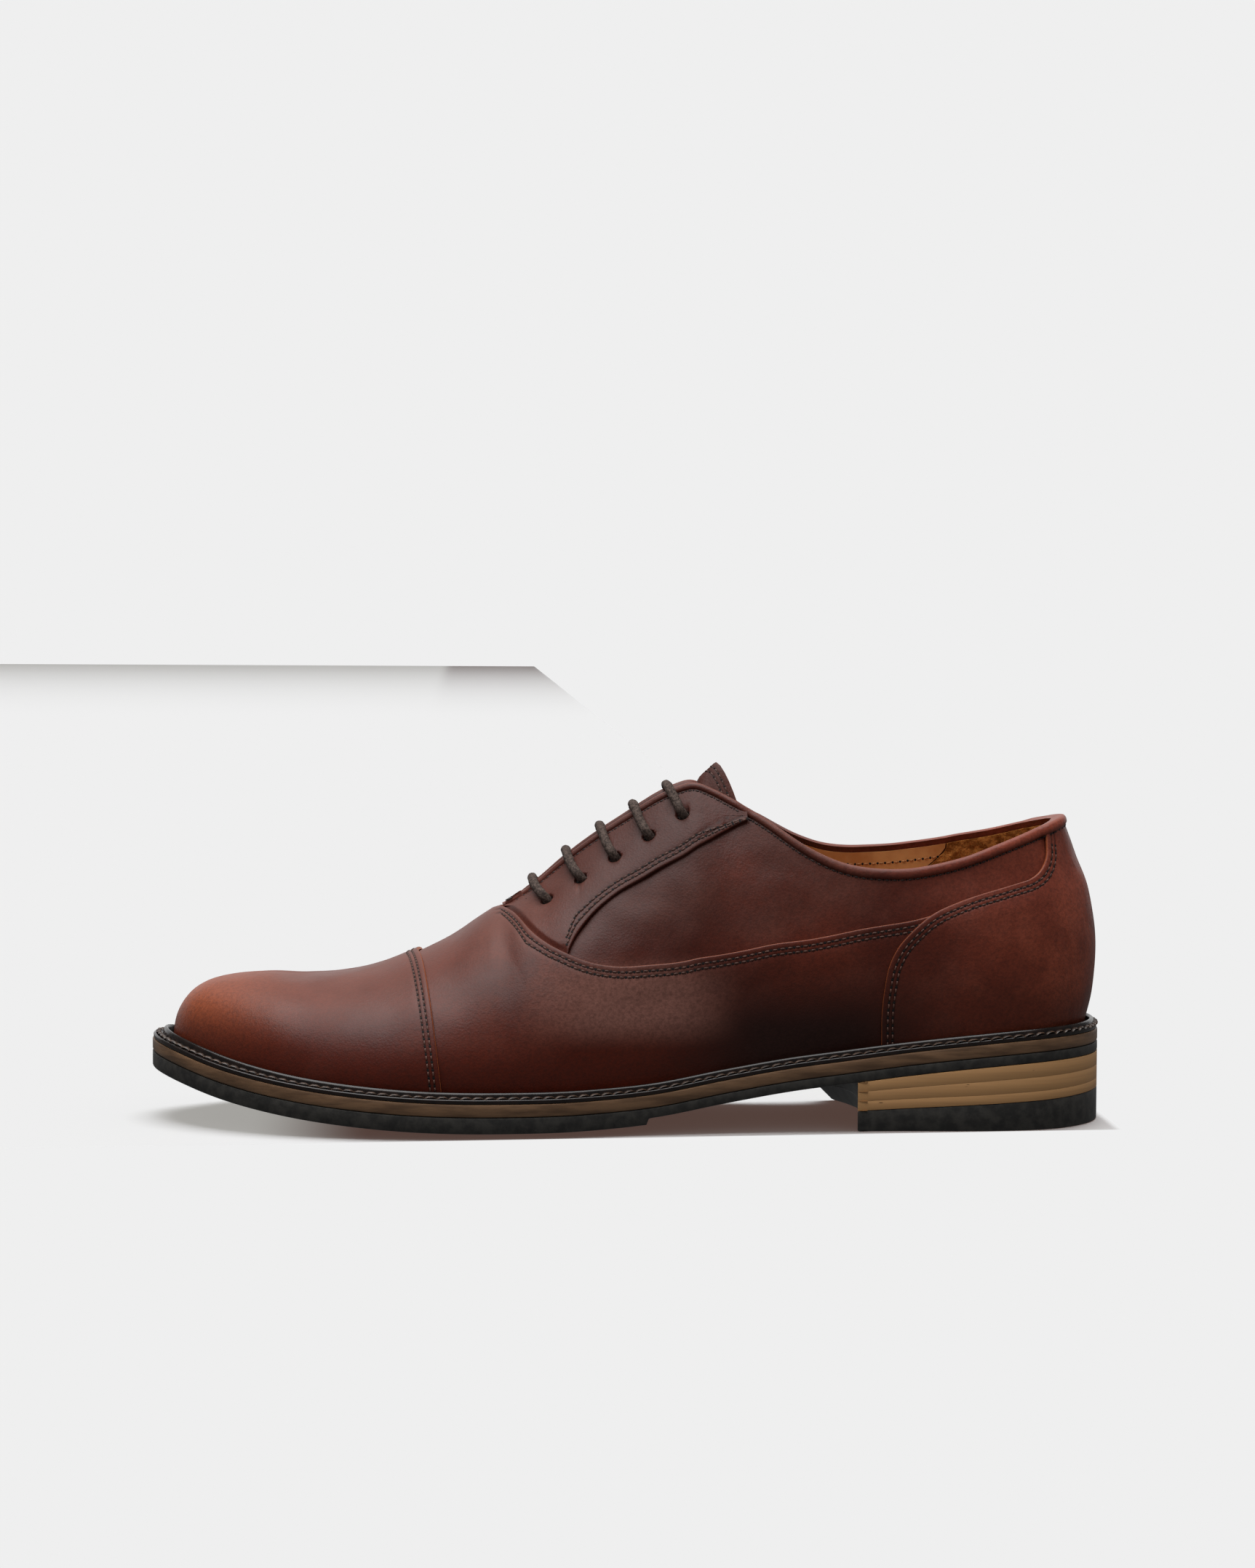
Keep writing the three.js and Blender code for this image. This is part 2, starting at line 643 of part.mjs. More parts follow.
/** Rolled edge over the top line, from one facing round the heel to the other. */
function makeBinding() {
  const stations = steps(26).map((t) => mix(stationOf(BINDING_FRONT), END, t));
  const rings = [];
  const ringAt = (side, s) => {
    const up = surface(side, s, 1).sub(surface(side, s, 0.98)).normalize();
    const behind = THREE.MathUtils.clamp((s - stationOf(ON_COUNTER)) / 20, 0, 1);
    const outer = mix(0, LAYER.cap[1] + 0.2, behind);
    const at = (offset, rise) => onSurface(side, s, 1, offset).addScaledVector(up, rise);
    return [at(-3.5, GAP), at(outer, GAP), at(outer - 0.2, 1.6), at(-1.4, 2.3), at(-3.2, 1.7)];
  };
  for (const s of stations) rings.push(ringAt(LATERAL, s));
  for (const s of stations.slice(0, -1).reverse()) rings.push(ringAt(MEDIAL, s));
  addSweep('topline_binding', rings, false, leather());
}

// ---------------------------------------------------------------- linings and stiffening
const LINING_BREAK = -40.8;            // x where the vamp lining meets the quarter linings
const STIFFENER_FRONT = FORE_LENGTH + 4;   // s where the heel stiffener starts
const GRIP_FRONT = 94;                 // x where the suede heel grip starts
const LINING_JOINT = 2.3;              // x between the vamp lining and the quarter linings

function makeLinings() {
  const toePlace = (p, q) => [p * stationOf(LINING_BREAK), q];
  const vampNets = SIDES.map((side) => leatherNet(side, steps(12), steps(6), toePlace, LAYER.lining));
  addShell('vamp_lining', vampNets, material('lining', 0.8));
  for (const side of SIDES) {
    const front = stationOf(LINING_BREAK + LINING_JOINT);
    const place = (p, q) => [mix(front, stationOf(GRIP_FRONT), p), q];
    const net = leatherNet(side, steps(16), steps(6), place, LAYER.lining);
    addShell(`quarter_lining_${label[side]}`, [net], material('lining', 0.6));
  }
  const gripPlace = (p, q) => [mix(stationOf(GRIP_FRONT) + 2 * GAP, END, p), q];
  const gripNets = SIDES.map((side) => leatherNet(side, steps(10), steps(6), gripPlace, LAYER.lining));
  addShell('heel_grip', gripNets, material('suede', 0.95));
}

function makeStiffening() {
  const puffPlace = (p, q) => [p * (stationOf(capX(q)) - UNDERLAP - 3), q];
  const puffNets = SIDES.map((side) => leatherNet(side, steps(8), steps(6), puffPlace, LAYER.puff));
  addShell('toe_puff', puffNets, material('board', 0.9));
  const backPlace = (p, q) => [mix(STIFFENER_FRONT, END, p), mix(0.02, 0.7, q)];
  const backNets = SIDES.map((side) => leatherNet(side, steps(8), steps(6), backPlace, LAYER.stiffener));
  addShell('heel_stiffener', backNets, material('board', 0.9));
}

// ---------------------------------------------------------------- tongue
const TONGUE_BASE = -46;
const TONGUE_TIP = 29.5;
const TONGUE_CORNER = 37;
const TONGUE_WING = 31;
const TONGUE_MIDDLE = 0.25;            // share of the half width that bridges the gap
const TONGUE_UNDER = 0.93;             // v where that bridge starts, under the facings
const TONGUE_EDGE = 0.66;              // v of the tongue's long edges
const tongueHump = spline([
  [TONGUE_BASE, 0.5], [-20, 2], [0, 4], [10, 6], [20, 9], [25, 13], [TONGUE_TIP, 16.5], [40, 16],
]);

function tonguePoint(x, w, offset) {
  const s = stationOf(x);
  const reach = Math.abs(w);
  const side = w < 0 ? LATERAL : MEDIAL;
  if (reach >= TONGUE_MIDDLE) {
    const v = mix(TONGUE_UNDER, TONGUE_EDGE, (reach - TONGUE_MIDDLE) / (1 - TONGUE_MIDDLE));
    return onSurface(side, s, v, offset);
  }
  const a = onSurface(LATERAL, s, TONGUE_UNDER, offset);
  const b = onSurface(MEDIAL, s, TONGUE_UNDER, offset);
  const t = w / TONGUE_MIDDLE;
  const point = a.lerp(b, (t + 1) / 2);
  point.z += tongueHump(x) * (1 - t * t);
  return point;
}

function makeTongue(name, [low, high], look) {
  const across = [-1, -0.75, -0.5, -0.25, -0.12, 0, 0.12, 0.25, 0.5, 0.75, 1];
  const net = steps(13).map((p) => across.map((w) => {
    const reach = Math.abs(w);
    let end = mix(TONGUE_TIP, TONGUE_CORNER, Math.min(reach / TONGUE_MIDDLE, 1));
    if (reach > TONGUE_MIDDLE) {
      end = mix(TONGUE_CORNER, TONGUE_WING, (reach - TONGUE_MIDDLE) / (1 - TONGUE_MIDDLE));
    }
    const x = mix(TONGUE_BASE, end, p);
    const key = tonguePoint(x, w, 0).toArray();
    return { key, low: tonguePoint(x, w, low), high: tonguePoint(x, w, high) };
  }));
  addShell(name, [net], look);
}

// ---------------------------------------------------------------- bottom of the shoe
/** Point of a half outline where it crosses x. */
function edgeAt(half, x) {
  const tips = [half[0], half[half.length - 1]];
  for (const [tipX, tipY] of tips) {
    if (Math.abs(x - tipX) < 1e-6) return tipY;
  }
  for (let i = 1; i < half.length; i += 1) {
    const [ax, ay] = half[i - 1];
    const [bx, by] = half[i];
    if (ax <= x && bx > x) return mix(ay, by, (x - ax) / (bx - ax));
  }
  return x < 0 ? half[0][1] : half[half.length - 1][1];
}

/** x of cross rows, close together at the rounded ends. */
function rowsBetween(from, to, count, roundFront, roundBack) {
  const start = roundFront ? 0 : Math.PI / 2;
  const stop = roundBack ? Math.PI : Math.PI / 2;
  const a = Math.cos(start);
  const b = Math.cos(stop);
  if (start === stop) return steps(count).map((t) => mix(from, to, t));
  return steps(count).map((t) => mix(from, to, (a - Math.cos(mix(start, stop, t))) / (a - b)));
}

/** A layer of the bottom: plan from an outline, top and low surfaces from functions of (x, w). */
function addLayer(name, outline, xs, top, low, look, hollow = 0, across = [-1, -0.5, 0, 0.5, 1]) {
  const half = halves(outline);
  const [front, back] = [xs[0], xs[xs.length - 1]];
  const net = xs.map((x) => across.map((w) => {
    const y = mix(edgeAt(half[LATERAL], x), edgeAt(half[MEDIAL], x), (w + 1) / 2);
    const curved = x + hollow * (1 - w * w) * ((back - x) / (back - front)) ** 2;
    return {
      key: [curved, y, 0],
      low: new THREE.Vector3(curved, y, low(curved, w)),
      high: new THREE.Vector3(curved, y, top(curved, w)),
    };
  }));
  return addShell(name, [net], look);
}

const seatLow = (x) => midsoleTop(x) - MIDSOLE_THICKNESS - WAIST_THICKNESS;
const liftTop = (x) => mix(TOP_LIFT_FRONT, TOP_LIFT_BACK, (x - BREAST) / 80);
const INNER_STAND = 4.4;               // from the feather line in to the edge of the insole
const innerEdge = inset(soleEdge, (x) => featherInset(x) + INNER_STAND);
const CORK_END = 3;
const SHANK = { front: 8, back: 90, half: 6, low: 0.6, high: 1.8 };
const ends = (outline) => [outline[0][0], outline[HEEL_INDEX][0]];

function makeInnerBottom() {
  const [toe, heel] = ends(innerEdge);
  const full = rowsBetween(toe, heel, 22, true, true);
  const three = [-1, 0, 1];
  addLayer('insole', innerEdge, full, (x) => midsoleTop(x) + 5, (x) => midsoleTop(x) + 2.6,
    material('board', 0.9), 0, three);
  addLayer('sock_liner', innerEdge, full, (x) => midsoleTop(x) + 6.2, (x) => midsoleTop(x) + 5.3,
    material('lining', 0.6), 0, three);
  const cork = rowsBetween(toe, CORK_END, 12, true, false);
  addLayer('cork_filler', innerEdge, cork, (x) => midsoleTop(x) + 2.3, (x) => midsoleTop(x) + GAP,
    material('cork', 0.95), 0, three);
  const along = rowsBetween(SHANK.front, SHANK.back, 8, false, false);
  const shankNet = along.map((x) => [-SHANK.half, SHANK.half].map((y) => ({
    key: [x, y, 0],
    low: new THREE.Vector3(x, y, midsoleTop(x) + SHANK.low),
    high: new THREE.Vector3(x, y, midsoleTop(x) + SHANK.high),
  })));
  addShell('shank', [shankNet], material('steel', 0.35, 1));
}

/** Plan point that stands in from the sole's edge at entry i. */
function standIn(i, distance) {
  const count = soleEdge.length;
  const [x, y] = soleEdge[i];
  const [ax, ay] = soleEdge[(i - 1 + count) % count];
  const [bx, by] = soleEdge[(i + 1) % count];
  const length = Math.hypot(bx - ax, by - ay);
  return [x - ((by - ay) / length) * distance, y + ((bx - ax) / length) * distance];
}

const beadStand = spline([[-150, 2.6], [-48, 2.7], [60, 2.7], [152, 3]]);
const WELT_STEP = 6;
const BEAD_WIDTH = 1.6;

function makeWelt() {
  const entries = range(Math.floor(soleEdge.length / WELT_STEP)).map((k) => k * WELT_STEP);
  const rings = entries.map((i) => {
    const x = soleEdge[i][0];
    const bead = featherInset(x) - beadStand(x);
    const section = [
      [bead, GAP], [bead, 2.6], [bead - 0.6, WELT_BEAD], [bead - 1.2, WELT_BEAD - 0.3],
      [bead - BEAD_WIDTH, WELT_STRIP], [0.4, WELT_STRIP], [0.4, GAP],
    ];
    return section.map(([distance, height]) => {
      const [px, py] = standIn(i, distance);
      return new THREE.Vector3(px, py, midsoleTop(x) + height);
    });
  });
  addSweep('welt', rings, true, material('welt', 0.35));
  const threadPath = entries.map((i) => {
    const x = soleEdge[i][0];
    const [px, py] = standIn(i, (featherInset(x) - beadStand(x) - BEAD_WIDTH + 0.4) / 2);
    return new THREE.Vector3(px, py, midsoleTop(x) + WELT_STRIP + GAP + THREAD_RADIUS);
  });
  addRod('welt_thread', threadPath, THREAD_RADIUS, 6, true, material('thread', 0.7));
}

function makeSole() {
  const [toe, heel] = ends(soleEdge);
  const full = rowsBetween(toe, heel, 30, true, true);
  addLayer('midsole', soleEdge, full, midsoleTop, (x) => midsoleTop(x) - MIDSOLE_THICKNESS + GAP,
    material('midsole', 0.6), 0, [-1, 0, 1]);
  const stepped = [...full.filter((x) => x < TREAD_END - 2), TREAD_END - 1, TREAD_END + 0.5,
    ...full.filter((x) => x > TREAD_END + 2)];
  const thickness = (x) => (x < TREAD_END ? OUTSOLE_THICKNESS : WAIST_THICKNESS);
  const bottom = (x, w) => {
    const crown = x < TREAD_END ? CROWN * (1 - w * w) : 0;
    return Math.max(midsoleTop(x) - MIDSOLE_THICKNESS - thickness(x) - crown, 0);
  };
  const top = (x) => midsoleTop(x) - MIDSOLE_THICKNESS;
  addLayer('outsole', soleEdge, stepped, top, bottom, material('rubber', 0.7));
}

function makeHeel() {
  const heel = ends(soleEdge)[1];
  const rows = rowsBetween(BREAST, heel, 11, false, true);
  const lowTop = (x) => liftTop(x) + LOW_LIFT;
  const middle = (x) => (lowTop(x) + seatLow(x)) / 2;
  const layer = (name, top, low, look) => addLayer(name, soleEdge, rows, top, low, look, BREAST_HOLLOW);
  layer('heel_lift_1', (x) => seatLow(x) - GAP, middle, material('stack', 0.6));
  layer('heel_lift_2', (x) => middle(x) - GAP, lowTop, material('stack', 0.6));
  layer('heel_lift_3', (x) => lowTop(x) - GAP, liftTop, material('stack', 0.6));
  layer('top_lift', (x) => liftTop(x) - GAP, () => 0, material('rubber', 0.7));
}

const NAIL_PLACES = [[94, -17], [94, 17], [118, -19], [118, 19], [134, 0]];
const NAIL_RADIUS = 0.9;

function makeNails() {
  const cutters = [];
  NAIL_PLACES.forEach(([x, y], i) => {
    const foot = new THREE.Vector3(x, y, liftTop(x) + 1.2);
    const head = new THREE.Vector3(x, y, midsoleTop(x) + 4.4);
    addRod(`heel_nail_${i + 1}`, [foot, head], NAIL_RADIUS, 8, false, material('steel', 0.4, 1));
    const low = foot.clone().setZ(foot.z - GAP);
    const high = head.clone().setZ(head.z + GAP);
    cutters.push(drill(low, high, NAIL_RADIUS + 0.35, 8));
  });
  for (const name of ['insole', 'midsole', 'outsole', 'heel_lift_1', 'heel_lift_2', 'heel_lift_3']) {
    cut(name, cutters);
  }
}

// ---------------------------------------------------------------- eyelets and lace
const FIRST_EYELET = { x: -25.9, z: 70.2 };
const LAST_EYELET = { x: 16.6, z: 97 };

/** [s, v] of eyelet i, counted from the toe; both sides match. */
function eyeletPlace(i) {
  const t = i / (EYELET_COUNT - 1);
  const s = stationOf(mix(FIRST_EYELET.x, LAST_EYELET.x, t));
  return [s, heightToV(LATERAL, s, mix(FIRST_EYELET.z, LAST_EYELET.z, t))];
}

/** Point by eyelet i: offset along the normal, slide up the rib and shift along the shoe. */
function byEyelet(side, i, offset, slide = 0, shift = 0) {
  const [s, v] = eyeletPlace(i);
  return onSurface(side, s + shift, v + slide / 100, offset);
}

function makeEyelets() {
  for (const side of SIDES) {
    const cutters = [];
    for (const i of range(EYELET_COUNT)) {
      const [s, v] = eyeletPlace(i);
      const axis = normal(side, s, v);
      const across = new THREE.Vector3(1, 0, 0).cross(axis).normalize();
      const other = axis.clone().cross(across);
      const at = (angle, radius, offset) => onSurface(side, s, v, offset)
        .addScaledVector(across, radius * Math.cos(angle)).addScaledVector(other, radius * Math.sin(angle));
      const rings = range(10).map((k) => {
        const angle = (k * Math.PI) / 5;
        const [back, front] = LAYER.eyelet;
        const corners = [[EYELET_BORE, back], [EYELET_RIM, back], [EYELET_RIM, front], [EYELET_BORE, front]];
        return corners.map(([radius, offset]) => at(angle, radius, offset));
      });
      addSweep(`eyelet_${label[side]}_${i + 1}`, rings, true, material('brass', 0.4, 1));
      cutters.push(drill(onSurface(side, s, v, -5), onSurface(side, s, v, 2), EYELET_HOLE));
    }
    cut(`facing_${label[side]}`, cutters);
    cut(`quarter_lining_${label[side]}`, cutters);
  }
}

/** A straight bar outside the shoe, in at one eyelet and out at its partner. */
function laceBar(i, from) {
  const half = (side) => [
    byEyelet(side, i, -5),
    byEyelet(side, i, 0.3),
    byEyelet(side, i, 1.4, 0.7, -0.3),
    byEyelet(side, i, 1.75, 3, -1),
  ];
  const [s] = eyeletPlace(i);
  const edge = (side) => onSurface(side, s - 3, 1, 1.7);
  const middle = edge(LATERAL).lerp(edge(MEDIAL), 0.5);
  middle.z += 0.5;
  return [...half(from), edge(from), middle, edge(-from), ...half(-from).reverse()];
}

/** A run inside the shoe between two eyelets of one side, bowed clear of the ones it passes. */
function laceRun(side, from, to, bow) {
  const [s0, v0] = eyeletPlace(from);
  const [s1, v1] = eyeletPlace(to);
  return [0.15, 0.38, 0.62, 0.85].map((t) => {
    const v = mix(v0, v1, t) + (bow / 100) * Math.sin(Math.PI * t);
    return onSurface(side, mix(s0, s1, t), v, -5.65);
  });
}

const LACE_INSIDE = -5.7;              // offset of a lace that hangs inside the upper
const LACE_LEVEL = 7.9;                // height over the midsole of a lace on the sock liner

/** A free end, tucked down inside the wall and forward along the sock liner. */
function laceEnd(side, i, floor) {
  const [s, v] = eyeletPlace(i);
  const down = [0.1, 0.35, 0.6, 0.84].map((t) => {
    const drop = 4 * Math.max(t - 0.4, 0);
    return onSurface(side, s - 10 * t, v * (1 - t), LACE_INSIDE - drop);
  });
  const along = floor.map(([x, y]) => new THREE.Vector3(x, y, midsoleTop(x) + LACE_LEVEL));
  return [...down, ...along];
}

const FLOOR_LATERAL = [[-30, -26], [-50, -26], [-70, -21], [-93, -8]];
const FLOOR_MEDIAL = [[-14, 18], [-36, 24], [-62, 26], [-89, 19]];

function lacePath() {
  return [
    ...laceEnd(LATERAL, 3, FLOOR_LATERAL).reverse(),
    ...laceBar(3, LATERAL),
    ...laceRun(MEDIAL, 3, 1, -4.2),
    ...laceBar(1, MEDIAL),
    ...laceRun(LATERAL, 1, 0, 0),
    ...laceBar(0, LATERAL),
    ...laceRun(MEDIAL, 0, 2, 4.2),
    ...laceBar(2, MEDIAL),
    ...laceRun(LATERAL, 2, 4, 4.2),
    ...laceBar(4, LATERAL),
    ...laceEnd(MEDIAL, 4, FLOOR_MEDIAL),
  ];
}

const AGLET_LENGTH = 14;

function makeLace() {
  const path = lacePath();
  addRod('lace', path, LACE_RADIUS, 8, false, material('lace', 0.9));
  [[path[0], path[1]], [path[path.length - 1], path[path.length - 2]]].forEach(([tip, inner], k) => {
    const ahead = tip.clone().sub(inner).normalize();
    const from = tip.clone().addScaledVector(ahead, GAP);
    const to = tip.clone().addScaledVector(ahead, AGLET_LENGTH);
    to.z = midsoleTop(to.x) + LACE_LEVEL;
    addRod(`aglet_${k + 1}`, [from, to], LACE_RADIUS, 8, false, material('plastic', 0.35));
  });
}

// ---------------------------------------------------------------- assembly
makeToeCap();
makeVamp();
for (const side of SIDES) {
  makeFacing(side);
  makeQuarter(side);
}
makeHeelCounter();
makeBinding();
makeLinings();
makeStiffening();
makeTongue('tongue', LAYER.tongue, leather());
makeTongue('tongue_lining', LAYER.tongueLining, material('lining', 0.8));
makeInnerBottom();
makeWelt();
makeSole();
makeHeel();
makeNails();
makeEyelets();
makeLace();

export default group;
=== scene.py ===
"""Looks of a leather oxford shoe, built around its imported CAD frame.

Lengths in this file are millimetres, like the shoe's own design, and become metres where a mesh is made.
The toe points to -X, the outer (lateral) side faces -Y and +Z is up.
The upper is a stack of leather layers over one reference surface, the outside of the vamp.
A place on it is (side, s, v): s runs along the shoe, v runs up a rib from the feather line to the top line.
"""
import math

import bmesh
import bpy
import numpy as np
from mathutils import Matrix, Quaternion, Vector, noise


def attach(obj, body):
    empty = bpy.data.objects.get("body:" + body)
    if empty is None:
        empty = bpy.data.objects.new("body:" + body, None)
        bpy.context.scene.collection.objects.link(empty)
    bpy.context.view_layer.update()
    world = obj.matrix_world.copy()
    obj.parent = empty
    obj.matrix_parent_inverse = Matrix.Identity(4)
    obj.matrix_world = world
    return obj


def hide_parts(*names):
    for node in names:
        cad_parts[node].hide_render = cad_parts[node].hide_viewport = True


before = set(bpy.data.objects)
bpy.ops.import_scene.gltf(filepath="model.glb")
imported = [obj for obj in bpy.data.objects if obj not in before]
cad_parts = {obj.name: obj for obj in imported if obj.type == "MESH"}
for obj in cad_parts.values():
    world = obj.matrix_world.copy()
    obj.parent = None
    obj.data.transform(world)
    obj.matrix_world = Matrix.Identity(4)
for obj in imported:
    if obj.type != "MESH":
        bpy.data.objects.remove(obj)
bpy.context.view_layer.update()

MM = 0.001
LATERAL, MEDIAL = -1, 1
SIDES = (LATERAL, MEDIAL)
SIDE_NAME = {LATERAL: "lateral", MEDIAL: "medial"}


# ---------------------------------------------------------------- camera
CAMERA_PLACE = Vector((-0.0518, -1.0988, 0.160))
CAMERA_AIM = Vector((0.0, 0.0, 0.1055))
CAMERA_ROLL = math.radians(0.3)
CAMERA_LENS = 99.8


def make_camera():
    data = bpy.data.cameras.new("camera")
    data.sensor_fit = "HORIZONTAL"
    data.sensor_width = 36.0
    data.lens = CAMERA_LENS
    data.clip_start, data.clip_end = 0.05, 20.0
    camera = bpy.data.objects.new("camera", data)
    bpy.context.scene.collection.objects.link(camera)
    camera.location = CAMERA_PLACE
    camera.rotation_mode = "QUATERNION"
    level = (CAMERA_AIM - CAMERA_PLACE).to_track_quat("-Z", "Y")
    camera.rotation_quaternion = level @ Quaternion((0, 0, 1), CAMERA_ROLL)
    bpy.context.scene.camera = camera


make_camera()


# ---------------------------------------------------------------- curves
class Spline:
    """Smooth curve through rows [t, value, ...]. Called with a number or an array of t."""

    def __init__(self, rows):
        data = np.array(rows, float)
        self.t, self.p = data[:, 0], data[:, 1:]
        gaps = np.diff(self.t)
        slope = np.diff(self.p, axis=0) / gaps[:, None]
        before, after = gaps[:-1, None], gaps[1:, None]
        inner = (slope[:-1] * after + slope[1:] * before) / (before + after)
        self.m = np.vstack([slope[:1], inner, slope[-1:]])

    def __call__(self, at):
        x = np.clip(np.asarray(at, float), self.t[0], self.t[-1])
        i = np.clip(np.searchsorted(self.t, x) - 1, 0, len(self.t) - 2)
        h = (self.t[i + 1] - self.t[i])[..., None]
        a = (x - self.t[i])[..., None] / h
        m0, m1 = self.m[i] * h, self.m[i + 1] * h
        d = self.p[i + 1] - self.p[i]
        value = self.p[i] + a * (m0 + a * (3 * d - 2 * m0 - m1 + a * (m0 + m1 - 2 * d)))
        return value[..., 0] if self.p.shape[1] == 1 else value


def mix(a, b, t):
    return a + (b - a) * t


def smooth_step(x, low, high):
    t = np.clip((np.asarray(x, float) - low) / (high - low), 0, 1)
    return t * t * (3 - 2 * t)


def unit(a):
    return a / np.maximum(np.linalg.norm(a, axis=-1, keepdims=True), 1e-12)


def run_of(points):
    """Length along a line of points, up to each of them."""
    return np.concatenate([[0], np.cumsum(np.linalg.norm(np.diff(points, axis=0), axis=1))])


def resampled(points, t, at):
    """Places along a line of points; t is the place of each of its own points."""
    return np.column_stack([np.interp(at, t, column) for column in points.T])


def closed_outline(points, fine):
    """Closed curve through plan points, as short chords; control point i is entry i * fine."""
    count = len(points)
    ring = np.array([points[i % count] for i in range(-3, count + 4)], float)
    chord = np.linalg.norm(np.diff(ring, axis=0), axis=1)
    t = np.concatenate([[0], np.cumsum(np.sqrt(chord))])
    curve = Spline(np.column_stack([t, ring]))
    at = [mix(t[i + 3], t[i + 4], j / fine) for i in range(count) for j in range(fine)]
    return curve(np.array(at))


def inward(outline):
    """Unit normals of a closed outline, pointing in."""
    along = unit(np.roll(outline, -1, axis=0) - np.roll(outline, 1, axis=0))
    return np.column_stack([-along[:, 1], along[:, 0]])


# ---------------------------------------------------------------- sole outline and levels
HEEL_ARC_X, HEEL_ARC_R = 114.6, 35.6


def on_heel(degrees, side):
    a = math.radians(degrees)
    return [HEEL_ARC_X + HEEL_ARC_R * math.cos(a), side * HEEL_ARC_R * math.sin(a)]


SOLE_POINTS = [
    [-150.2, 8], [-146.9, -6.5], [-134.5, -23], [-112, -39], [-80, -49.8], [-50, -51.8], [-25, -49.5],
    [5, -43], [40, -37.5], [80, -35.5], on_heel(90, LATERAL), on_heel(60, LATERAL), on_heel(30, LATERAL),
    on_heel(0, LATERAL), on_heel(30, MEDIAL), on_heel(60, MEDIAL), on_heel(90, MEDIAL),
    [80, 34.5], [45, 30], [10, 32.5], [-25, 43], [-55, 50.6], [-75, 51.7], [-98, 48.5], [-121.5, 39.5],
    [-139, 27], [-147.9, 17],
]
FINE = 12
HEEL_INDEX = 13 * FINE
sole_edge = closed_outline(SOLE_POINTS, FINE)
feather_inset = Spline([[-150, 7.6], [-132, 8.2], [-100, 7.6], [-40, 7.2], [20, 6.3], [80, 6.4], [152, 5.6]])
feather_edge = sole_edge + inward(sole_edge) * feather_inset(sole_edge[:, 0])[:, None]
TOE_X, TOE_Y = feather_edge[0]
midsole_top = Spline([
    [-151, 24.9], [-144, 23.1], [-127, 18.6], [-104, 14.5], [-82, 12.2], [-60, 10.9], [-38, 10.6],
    [-15, 10.9], [7, 12.5], [29, 16.3], [52, 20], [64, 21.5], [86, 24.3], [108, 26.7], [131, 28.4], [152, 29],
])


def halves(outline):
    """The two halves of an outline, each from the toe to the back of the heel."""
    medial = np.vstack([outline[:1], outline[HEEL_INDEX:][::-1]])
    return {LATERAL: outline[:HEEL_INDEX + 1], MEDIAL: medial}


# ---------------------------------------------------------------- the reference surface
TOE_ROUND = 25.0
HEEL_CENTRE = 104.0
HEEL_REACH = 38.0
FORE_LENGTH = math.sqrt((HEEL_CENTRE - TOE_X + TOE_ROUND) ** 2 - TOE_ROUND ** 2)
END = FORE_LENGTH + HEEL_REACH * math.pi / 2
THROAT_X = -40.3
APEX_X = 20.4


def station_of(x):
    return np.sqrt(np.maximum((np.asarray(x, float) - TOE_X + TOE_ROUND) ** 2 - TOE_ROUND ** 2, 0))


def x_of(s):
    return TOE_X + np.sqrt(s * s + TOE_ROUND ** 2) - TOE_ROUND


def feather_rows(side):
    """s and radius of the feather line's points on one side."""
    x, y = halves(feather_edge)[side].T
    ahead = x <= HEEL_CENTRE
    s = np.where(ahead, station_of(x), FORE_LENGTH + HEEL_REACH * np.arctan2(x - HEEL_CENTRE, side * y))
    s[-1] = END
    return s, np.where(ahead, side * y, np.hypot(x - HEEL_CENTRE, y))


feather_radius = {side: feather_rows(side) for side in SIDES}
THROAT_S = float(station_of(THROAT_X))
ridge_y = Spline([[TOE_X, TOE_Y], [-110, 6.5], [-60, 4.5], [0, 2.5], [60, 0], [104, 0]])
half_gap = Spline([
    [THROAT_X, 0], [-39.3, 0.12], [-37.9, 0.8], [-36, 2.1], [-25, 4.6], [0, 7], [15, 8.8], [APEX_X, 10],
    [31.5, 13.5], [42, 18.5], [49, 22], [56.5, 24.5], [64, 26.4], [72, 27.6], [86, 28], [94, 27.6],
    [104, 26.3],
])
ridge_z = Spline([
    [0, float(midsole_top(TOE_X)) + 0.6], [6, 30.2], [11, 34.2], [17.5, 38.2], [25, 41.2], [34, 43.1],
    [47, 44], [62, 43.6], [78, 45], [86, 46.9], [94, 49.8], [102, 53.4], [110, 57.5], [117, 62.2],
    [123.5, 66.4],
])
opening_z = Spline([
    [THROAT_X, 66.4], [-36.6, 68.2], [-29.6, 73.2], [-20, 81.2], [-9, 89.4], [0, 95.2], [10.3, 101.6],
    [15.7, 104], [APEX_X, 105.2], [26, 103.4], [31.5, 100.6], [42, 94.6], [49, 89.7], [56.5, 84.9],
    [64, 81.4], [72, 79.4], [79, 78.8], [86.4, 78.9], [94, 80], [102, 81.8], [110, 84.3],
    [118, 87.1], [128, 90.6], [140.4, 94.8],
])
medial_rise = Spline([[42, 0], [60, 2.2], [86, 4.4], [104, 3.4], [120, 1.2], [136, 0]])
heel_top_radius = Spline([[0, 26.3], [30, 26.2], [60, 30.6], [78, 34], [90, 35.1]])
lean_out = Spline([[0, 0], [30, 8], [80, 16], [140, 12], [200, 5], [250, 8], [290, 13], [END, 16]])
top_slope = Spline([
    [0, 0], [THROAT_S - 22, 0], [THROAT_S, 6], [station_of(-36), 10.5], [station_of(-28), 19.5],
    [station_of(-20), 28], [station_of(0), 40], [station_of(20), 50], [station_of(42), 62],
    [station_of(64), 74], [station_of(86), 80], [FORE_LENGTH, 80], [END, 70],
])
low_fullness = Spline([[0, 0.5], [30, 0.62], [90, 0.56], [140, 0.46], [200, 0.4], [END, 0.4]])
